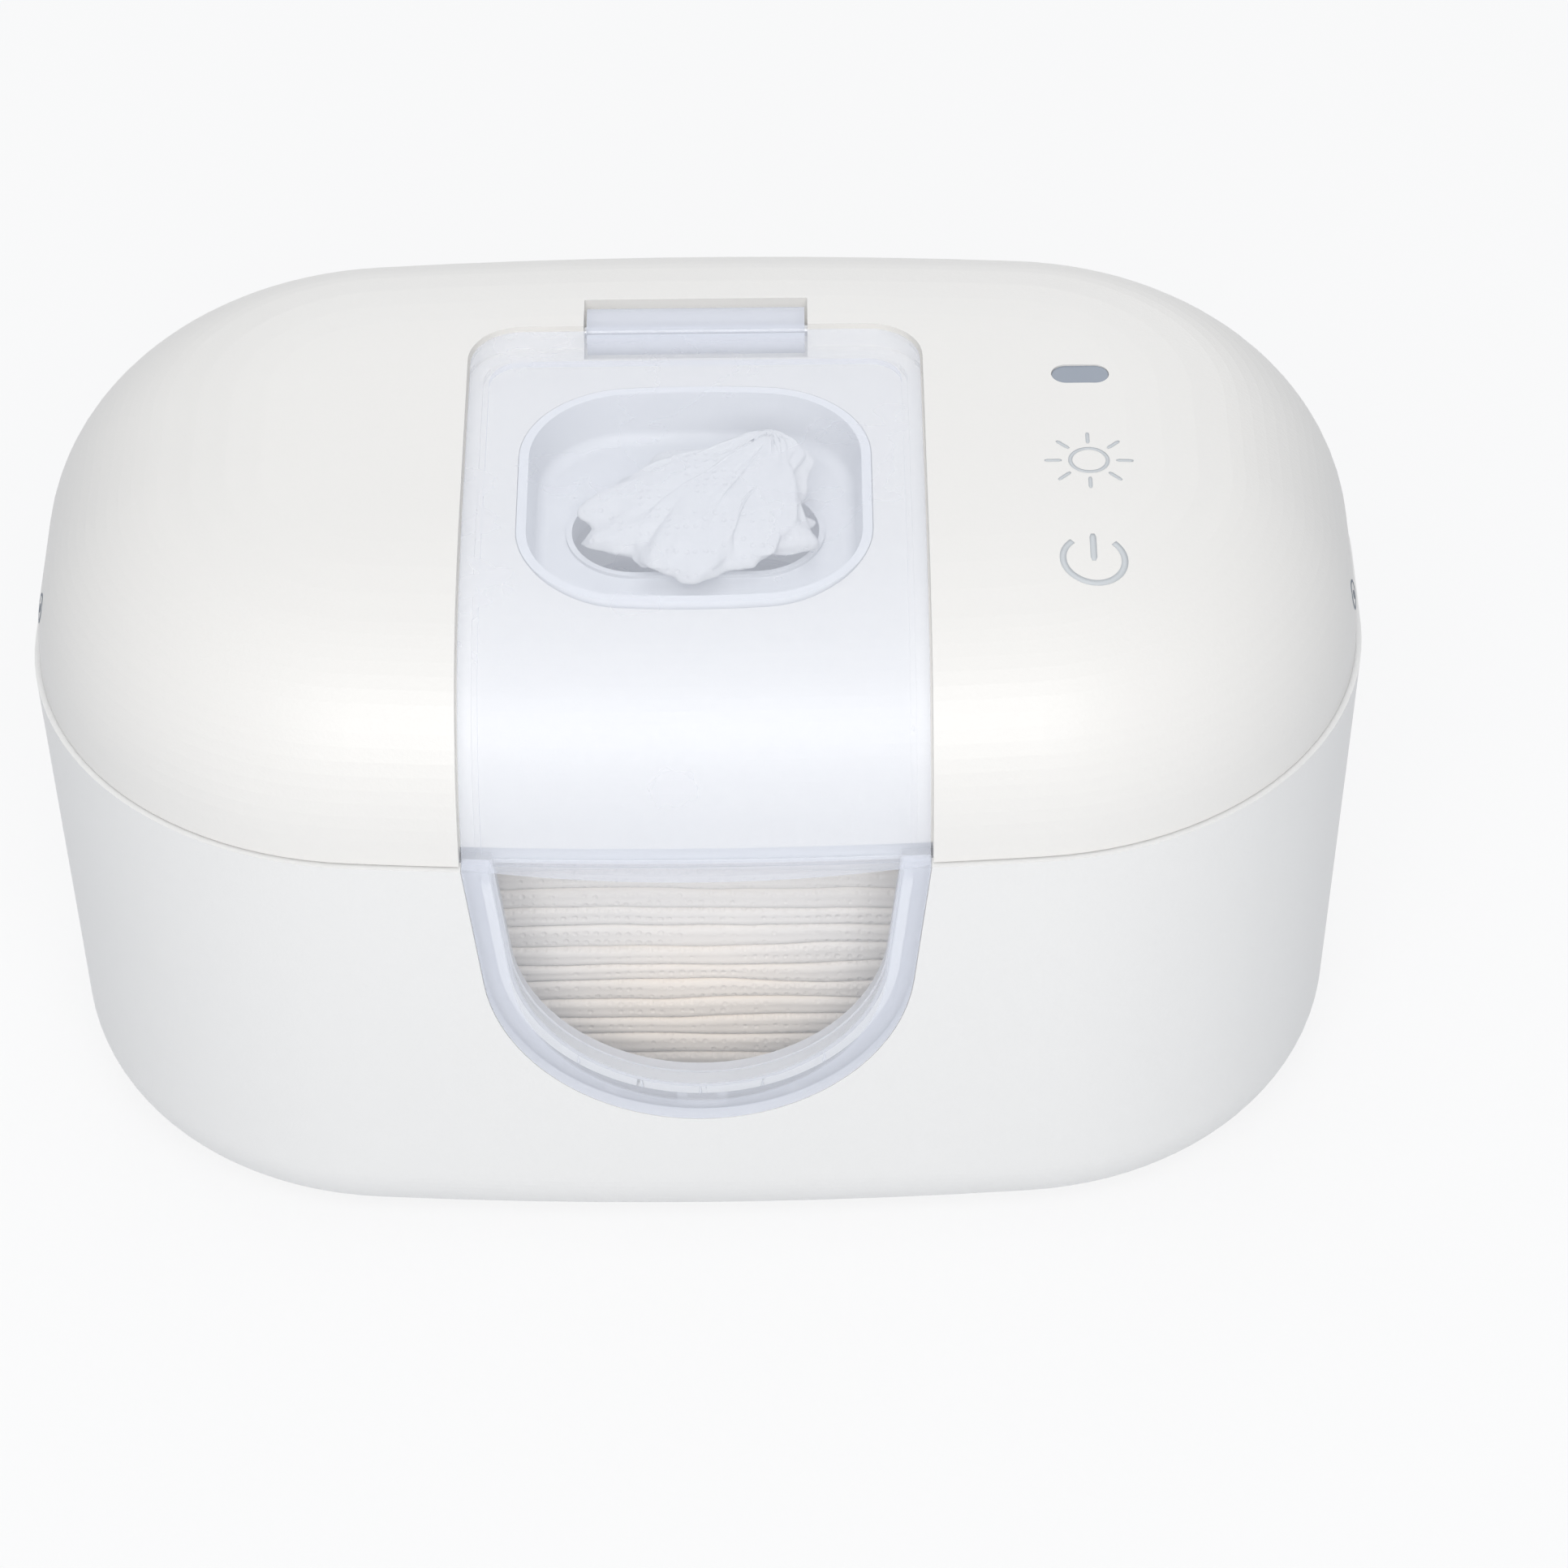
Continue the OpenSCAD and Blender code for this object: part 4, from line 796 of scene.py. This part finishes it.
class WARMER_OT_folded_wipes(bpy.types.Operator):
    """Build the stack of folded wipes that shows through the window"""

    bl_idname = "warmer.folded_wipes"
    bl_label = "Folded wipes"

    # How far a layer's outline draws in, against its height: two plies with a groove between them
    fold = [
        (0.02, 0.8), (0.1, 0.3), (0.24, 0.08), (0.4, 0.06), (0.5, 0.16),
        (0.6, 0.06), (0.76, 0.08), (0.9, 0.3), (0.98, 0.8),
    ]
    corner = 28 * MM
    steps = 264
    # How far the bottom wipe draws in, because it lies on the tub's rounded foot, in millimetres
    foot_draw = 8.5
    # The rows that close a layer's top and underside: height, inset in millimetres, share of the outline
    cover_row = (0.99, 1.5, 0.8)
    top_rows = ((0.99, 1.5, 0.86), (0.99, 1.5, 0.62), (0.99, 1.5, 0.36), (0.99, 1.5, 0.12))
    under_row = (0.01, 1.5, 0.8)
    # Puts the middle of the warm glow painted on the stack on the window's middle
    painted_glow_offset = (0.0, 0.051, -0.058)

    def outline(self, turn):
        """A point round the stack's rounded rectangle, for a turn of 0 to 1 from the front's middle"""
        half_w = STACK_HIGH.x - self.corner
        half_d = STACK_HIGH.y - self.corner
        arc = math.pi / 2 * self.corner
        runs = [half_w, arc, 2 * half_d, arc, 2 * half_w, arc, 2 * half_d, arc, half_w]
        left = (turn % 1.0) * sum(runs)
        kind = 0
        while kind < 8 and left > runs[kind]:
            left -= runs[kind]
            kind += 1
        if kind % 2:
            x, y = ((half_w, -half_d), (half_w, half_d), (-half_w, half_d), (-half_w, -half_d))[kind // 2]
            angle = -math.pi / 2 + kind // 2 * math.pi / 2 + left / self.corner
            return x + self.corner * math.cos(angle), y + self.corner * math.sin(angle)
        if kind == 0:
            return left, -STACK_HIGH.y
        if kind == 2:
            return STACK_HIGH.x, -half_d + left
        if kind == 4:
            return half_w - left, STACK_HIGH.y
        if kind == 6:
            return -STACK_HIGH.x, half_d - left
        return -half_w + left, -STACK_HIGH.y

    def seam_height(self, look, level, x, y):
        """Height of the line between two layers, which waves slowly and ripples"""
        if level == 0:
            return 0.0
        slow = noise.noise(Vector((x / 0.034, y / 0.05, level * 0.47)))
        quick = noise.noise(Vector((x / 0.0085, y / 0.02, level * 3.1)))
        return slow * look.wave + quick * look.ripple

    def shape(self, look, level, points, verts, row):
        """Puts a ring of a layer in its place"""
        height, inset, shrink = row
        pitch = (STACK_HIGH.z - look.wave * 0.6 - STACK_LOW.z) / look.layers
        for vert, (x, y) in zip(verts, points):
            slack = 0.25 + 0.75 * abs(noise.noise(Vector((x / 0.03, y / 0.03, level * 2.7))))
            if level == 0:
                slack = self.foot_draw
            draw = 1 - (inset + slack) * MM / STACK_HIGH.y
            x, y = x * draw * shrink, y * draw * shrink
            low = self.seam_height(look, level, x, y)
            high = self.seam_height(look, level + 1, x, y)
            wave = low * (1 - height) + high * height
            vert.co = (x, y, STACK_LOW.z + (level + height) * pitch + wave)

    def execute(self, context):
        look = context.scene.warmer_cloth
        points = [self.outline(index / self.steps) for index in range(self.steps)]
        rows = [(height, inset, 1.0) for height, inset in self.fold]
        bm = bmesh.new()
        for level in range(look.layers):
            ring, first_edges = new_ring(bm, self.steps, 1.0)
            self.shape(look, level, points, ring, rows[0])
            last, edges = ring, first_edges
            top = self.top_rows if level == look.layers - 1 else (self.cover_row,)
            for row in (*rows[1:], *top):
                last, edges = next_ring(bm, last, edges)
                self.shape(look, level, points, last, row)
            bmesh.ops.contextual_create(bm, geom=edges)
            under, edges = next_ring(bm, ring, first_edges)
            self.shape(look, level, points, under, self.under_row)
            bmesh.ops.contextual_create(bm, geom=edges)
        bmesh.ops.recalc_face_normals(bm, faces=bm.faces)

        material, tree, shader, ground = cloth_material("Stack cloth", look.stack_colour, look, 0.0018, 0.1)
        # Painted light: a warm glow mixed into the stack's colour, strongest at the window's middle and
        # fading outwards
        moved = add(
            tree,
            "Mapping",
            {"Vector": here(tree), "Location": self.painted_glow_offset, "Scale": (1.0, 1.0, 1.5)},
        ).outputs[0]
        away = add(tree, "VectorMath", {0: moved}, operation="LENGTH").outputs["Value"]
        glow_weight = times(tree, spread(tree, away, 0.004, 0.036, 1.0, 0.0), 0.8)
        tree.links.new(blend(tree, glow_weight, ground, solid(look.stack_painted_glow)), shader.inputs["Base Color"])
        piece = finish_piece(bm, "folded_wipes", "base", material)
        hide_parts("wipe_stack")
        return {"FINISHED"}


class WARMER_OT_standing_wipe(bpy.types.Operator):
    """Build the gathered wipe that stands up through the slot"""

    bl_idname = "warmer.standing_wipe"
    bl_label = "Standing wipe"

    # Height, half width, half depth, middle and fold strength of the wipe, from its tail to its tip
    rows = [
        (80.4, 9, 6, 0, 0, 0.06),
        (91, 6.5, 5.5, 0, 0, 0.1),
        (107.4, 6, 5, 0, 0, 0.14),
        (113, 8, 6.5, 0, 0, 0.16),
        (114.4, 17, 12, 0.5, 0, 0.14),
        (115.8, 19.4, 15, 1, -1, 0.1),
        (117.6, 19, 14.5, 1, -0.5, 0.12),
        (119.4, 16.5, 12, 2.5, 1.5, 0.15),
        (120.8, 13, 8.5, 5, 5, 0.18),
        (121.8, 9, 5, 9, 9, 0.2),
        (122.6, 5, 3, 12, 13, 0.18),
        (122.9, 1.5, 1, 13, 15, 0.1),
    ]
    # Where the gathers lie round the wipe, in degrees, and how wide each is
    gathers = [
        (8, 4), (31, 3), (52, 5), (77, 3), (97, 4), (121, 5), (140, 3), (163, 4), (189, 5),
        (207, 3), (229, 4), (252, 3), (270, 5), (293, 3), (314, 4), (338, 5),
    ]
    round_steps = 324
    up_steps = 92
    smoothings = 6

    def row(self, along):
        """The wipe's row at a distance along it, in rows"""
        index = min(int(along), len(self.rows) - 2)
        part = along - index
        return [a * (1 - part) + b * part for a, b in zip(self.rows[index], self.rows[index + 1])]

    def point(self, look, turn, rise):
        """A point of the cloth, for a turn round it and a rise up it of 0 to 1"""
        along = rise * (len(self.rows) - 1)
        z, half_w, half_d, mid_x, mid_y, strength = self.row(along)
        angle = math.radians(turn * 360)
        drift = 9 * noise.noise(Vector((turn * 2.0, rise * 2.6, 4.1)))
        folds = (
            math.sin(5 * angle + math.radians(40 * along))
            + 0.55 * math.sin(11 * angle - math.radians(65 * along))
            + 0.3 * math.sin(17 * angle + math.radians(90 * along))
        )
        swell = 1 + strength * folds
        reach = max(0.6, math.hypot(half_w * math.cos(angle), half_d * math.sin(angle)) * swell)
        depth = 0.0
        for index, (middle, width) in enumerate(self.gathers):
            off = (turn * 360 - middle + drift + 180) % 360 - 180
            fade = 0.45 + 0.55 * abs(noise.noise(Vector((index * 1.7, rise * 3.4, 0.3)))) * 2
            depth += min(1.0, fade) * math.exp(-((off / width) ** 2))
        depth = min(depth, 1.0) * min(look.crease / MM, reach * 0.55)
        place = Vector((math.cos(angle) * half_w / 8, math.sin(angle) * half_d / 8, along * 0.8))
        crumple = 0.5 * (noise.noise(place * 2.1) - 0.35) + 0.25 * noise.noise(place * 5.3)
        scale = max(0.1, (reach - depth - 0.25 + min(0.1, crumple * min(1.0, reach / 5))) / reach)
        x = mid_x + half_w * swell * math.cos(angle) * scale
        y = mid_y + half_d * swell * math.sin(angle) * scale + WELL_Y / MM
        sag = 0.0 if rise in (0.0, 1.0) else 0.35 * noise.noise(Vector((x / 4, y / 4, along)))
        return Vector((x, y, min(z + sag, 122.7))) * MM

    def execute(self, context):
        look = context.scene.warmer_cloth
        bm = bmesh.new()
        made = bmesh.ops.create_grid(bm, x_segments=self.round_steps, y_segments=self.up_steps, size=0.5)
        for vert in made["verts"]:
            vert.co = self.point(look, vert.co.x + 0.5 + 0.25, vert.co.y + 0.5)
        bmesh.ops.remove_doubles(bm, verts=bm.verts, dist=1e-6)
        for _ in range(self.smoothings):
            bmesh.ops.smooth_vert(
                bm, verts=bm.verts, factor=0.5, use_axis_x=True, use_axis_y=True, use_axis_z=True
            )
        bmesh.ops.recalc_face_normals(bm, faces=bm.faces)
        material = cloth_material("Wipe cloth", look.wipe_colour, look, 0.0016, 0.16)[0]
        piece = finish_piece(bm, "standing_wipe", "lid", material)
        walls = piece.modifiers.new("Cloth thickness", "SOLIDIFY")
        walls.thickness = look.thickness
        walls.offset = -1.0
        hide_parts("popup_wipe")
        # This flat size has no source: it was lowered from 150 x 50 mm until the modelled area passed the
        # least share that is allowed. A real wipe is cut larger, so it isn't to be relied on.
        return {"FINISHED"}


def print_on_lid(bm, name, turn, look, ink):
    """Turns a flat drawing into a thin print on the lid"""
    graph = bpy.context.evaluated_depsgraph_get()
    lay_on(bm, BVHTree.FromObject(nodes["lid_shell"], graph), turn, look.lift)
    thicken(bm, look.thickness)
    finish_piece(bm, name, "lid", ink)


def ink_material(name, rgb):
    """Matt printed ink"""
    return moulded(name, rgb, 0.6, 0.0004, 0.00001, 1.45, mottle=0.15)[0]


class WARMER_OT_key_prints(bpy.types.Operator):
    """Print the sun and the power mark on the lid's touch keys"""

    bl_idname = "warmer.key_prints"
    bl_label = "Key prints"

    rays = 8
    # Where the power mark's arc starts and how far it turns, in degrees, and where its upright stroke starts
    power_arc = (132, 276)
    power_foot = -0.0004

    def execute(self, context):
        look = context.scene.warmer_prints
        ink = ink_material("Key ink", look.ink)
        bm = bmesh.new()
        add_arc(bm, look.sun_radius, look.sun_stroke, 0, 360, 72)
        for number in range(self.rays):
            add_bar(bm, look.ray_start, look.ray_end, look.sun_stroke, number * 360 / self.rays)
        print_on_lid(bm, "sun_print", Matrix.Translation((*SUN_AT, PRINT_DROP)), look, ink)
        bm = bmesh.new()
        add_arc(bm, look.power_radius, look.power_stroke, *self.power_arc, 80)
        add_bar(bm, self.power_foot, look.power_radius, look.power_stroke, 90, 8)
        print_on_lid(bm, "power_print", Matrix.Translation((*POWER_AT, PRINT_DROP)), look, ink)
        return {"FINISHED"}


class WARMER_OT_press_marks(bpy.types.Operator):
    """Print the small mark that shows where to press each end of the lid"""

    bl_idname = "warmer.press_marks"
    bl_label = "Press marks"

    ring_radius = 2.6 * MM
    dot_radius = 0.8 * MM
    stroke = 0.45 * MM

    def execute(self, context):
        look = context.scene.warmer_prints
        ink = ink_material("Press ink", look.press_ink)
        for side, name in ((-1, "left_press_mark"), (1, "right_press_mark")):
            bm = bmesh.new()
            add_arc(bm, self.ring_radius, self.stroke, 0, 360, 64)
            add_arc(bm, self.dot_radius, self.stroke, 0, 360, 24)
            move = Matrix.Translation((side * PRINT_DROP, *PRESS_AT))
            print_on_lid(bm, name, move @ Matrix.Rotation(side * math.pi / 2, 4, "Y"), look, ink)
        return {"FINISHED"}


class WARMER_OT_stage(bpy.types.Operator):
    """Set the floor, the lamps, the room light and the camera"""

    bl_idname = "warmer.stage"
    bl_label = "Stage"

    # The photograph's camera: point looked at, angles in degrees, distance and focal length in pixels
    looked_at = Vector((0, 0, 0.0635))
    elevation = 40.327
    yaw = 1.14
    roll = -1.331
    distance = 1.0722
    focal_pixels = 7477.6
    frame_pixels = 1932
    # How far that point lies left of and above the photograph's middle, in pixels
    left_pixels = 102.1
    above_pixels = 91.2

    # The floor: how much of it is the backdrop's plain colour, and the matt colour of the rest
    floor_plain = 0.82
    floor_matt = (0.82, 0.83, 0.85, 1.0)

    def lamp(self, name, power, size, place, tint):
        """A square soft lamp that looks at the object"""
        data = bpy.data.lights.new(name, "AREA")
        data.shape = "SQUARE"
        data.size = size
        data.energy = power
        data.color = tint
        lamp = new_object(name, data)
        lamp.location = place
        lamp.rotation_mode = "QUATERNION"
        lamp.rotation_quaternion = (self.looked_at - Vector(place)).to_track_quat("-Z", "Y")

    def seen(self, tree):
        """Tells what the eye, gloss and glass see from what lights the object"""
        path = add(tree, "LightPath").outputs
        through = calc(tree, "MAXIMUM", path["Is Glossy Ray"], path["Is Transmission Ray"])
        return calc(tree, "MAXIMUM", path["Is Camera Ray"], through)

    def room(self, look):
        """Room light on the object, and a plain backdrop for the eye, for gloss and through glass"""
        world = bpy.data.worlds.new("Studio room")
        bpy.context.scene.world = world
        world.use_nodes = True
        tree = world.node_tree
        tree.nodes.clear()
        light = {"Color": solid(look.room), "Strength": look.room_strength}
        plain = {"Color": solid(look.backdrop), "Strength": 1.0}
        ends = [add(tree, "Background", inputs).outputs[0] for inputs in (light, plain)]
        mixed = add(tree, "MixShader", {0: self.seen(tree), 1: ends[0], 2: ends[1]})
        add(tree, "OutputWorld", {"Surface": mixed.outputs[0]})

    def floor(self, look):
        """A pale floor that keeps the object's shadow"""
        bm = bmesh.new()
        bmesh.ops.create_grid(bm, x_segments=1, y_segments=1, size=look.floor_half)
        data = bpy.data.meshes.new("floor")
        bm.to_mesh(data)
        bm.free()
        material = bpy.data.materials.new("Pale floor")
        material.use_nodes = True
        tree = material.node_tree
        tree.nodes.clear()
        matt = add(tree, "BsdfDiffuse", {"Color": self.floor_matt}).outputs[0]
        plain = add(tree, "Emission", {"Color": solid(look.backdrop), "Strength": 1.0}).outputs[0]
        amount = times(tree, self.seen(tree), self.floor_plain)
        mixed = add(tree, "MixShader", {0: amount, 1: matt, 2: plain})
        add(tree, "OutputMaterial", {"Surface": mixed.outputs[0]})
        data.materials.append(material)
        floor = new_object("floor", data)

    def camera(self):
        """The camera at the photograph's place, turned so that the object lies where the photograph has it"""
        e = math.radians(self.elevation)
        yaw = math.radians(self.yaw)
        roll = math.radians(self.roll)
        back = Vector((math.sin(yaw) * math.cos(e), -math.cos(yaw) * math.cos(e), math.sin(e)))
        ahead = -back
        right = ahead.cross(Vector((0, 0, 1))).normalized()
        up = right.cross(ahead)
        right, up = (
            right * math.cos(roll) + up * math.sin(roll),
            up * math.cos(roll) - right * math.sin(roll),
        )
        aim = ahead * self.focal_pixels + right * self.left_pixels - up * self.above_pixels
        aim.normalize()
        right = (right - aim * right.dot(aim)).normalized()
        up = right.cross(aim)
        data = bpy.data.cameras.new("camera")
        data.sensor_width = 36.0
        data.lens = self.focal_pixels / self.frame_pixels * data.sensor_width
        camera = new_object("camera", data)
        camera.matrix_world = Matrix.Translation(self.looked_at + back * self.distance) @ Matrix(
            (right, up, -aim)
        ).transposed().to_4x4()
        bpy.context.scene.camera = camera

    def execute(self, context):
        look = context.scene.warmer_stage
        context.scene.view_settings.view_transform = "Standard"
        self.room(look)
        self.floor(look)
        self.lamp("front lamp", look.key_power, 1.1, (0.0, -1.15, 1.05), (1.0, 0.985, 0.96))
        self.lamp("top lamp", look.top_power, 1.2, (-0.1, 0.25, 1.5), (1.0, 0.99, 0.97))
        self.lamp("rear lamp", look.rear_power, 1.2, (0.1, 1.5, 0.9), (1.0, 0.99, 0.98))
        self.camera()
        return {"FINISHED"}


class WARMER_PT_panel(bpy.types.Panel):
    """Lists the warmer's pieces, sizes and colours"""

    bl_idname = "WARMER_PT_panel"
    bl_label = "Wipe Warmer"
    bl_space_type = "VIEW_3D"
    bl_region_type = "UI"
    bl_category = "Wipe Warmer"

    def draw(self, context):
        layout = self.layout
        for operator in OPERATORS:
            layout.operator(operator.bl_idname)
        for name, title in GROUPS.items():
            box = layout.box()
            box.label(text=title[1])
            values = getattr(context.scene, name)
            for key in values.bl_rna.properties.keys():
                if key not in ("rna_type", "name"):
                    box.prop(values, key)


OPERATORS = (
    WARMER_OT_white_shells,
    WARMER_OT_milky_parts,
    WARMER_OT_seals_and_feet,
    WARMER_OT_metalwork,
    WARMER_OT_catch_springs,
    WARMER_OT_heater_layers,
    WARMER_OT_electronics,
    WARMER_OT_folded_wipes,
    WARMER_OT_standing_wipe,
    WARMER_OT_key_prints,
    WARMER_OT_press_marks,
    WARMER_OT_stage,
)
GROUPS = {
    "warmer_plastics": (WarmerPlastics, "Plastics"),
    "warmer_heater": (WarmerHeater, "Heater and boards"),
    "warmer_cloth": (WarmerCloth, "Wipes"),
    "warmer_prints": (WarmerPrints, "Prints"),
    "warmer_stage": (WarmerStage, "Stage"),
}


def register():
    for name, (group, _) in GROUPS.items():
        bpy.utils.register_class(group)
        setattr(bpy.types.Scene, name, PointerProperty(type=group))
    for operator in OPERATORS:
        bpy.utils.register_class(operator)
    bpy.utils.register_class(WARMER_PT_panel)


def unregister():
    bpy.utils.unregister_class(WARMER_PT_panel)
    for operator in reversed(OPERATORS):
        bpy.utils.unregister_class(operator)
    for name, (group, _) in GROUPS.items():
        delattr(bpy.types.Scene, name)
        bpy.utils.unregister_class(group)


def main():
    """Builds every piece and the stage."""
    register()
    for operator in OPERATORS:
        getattr(bpy.ops.warmer, operator.bl_idname.split(".")[1])()


if __name__ == "__main__":
    main()
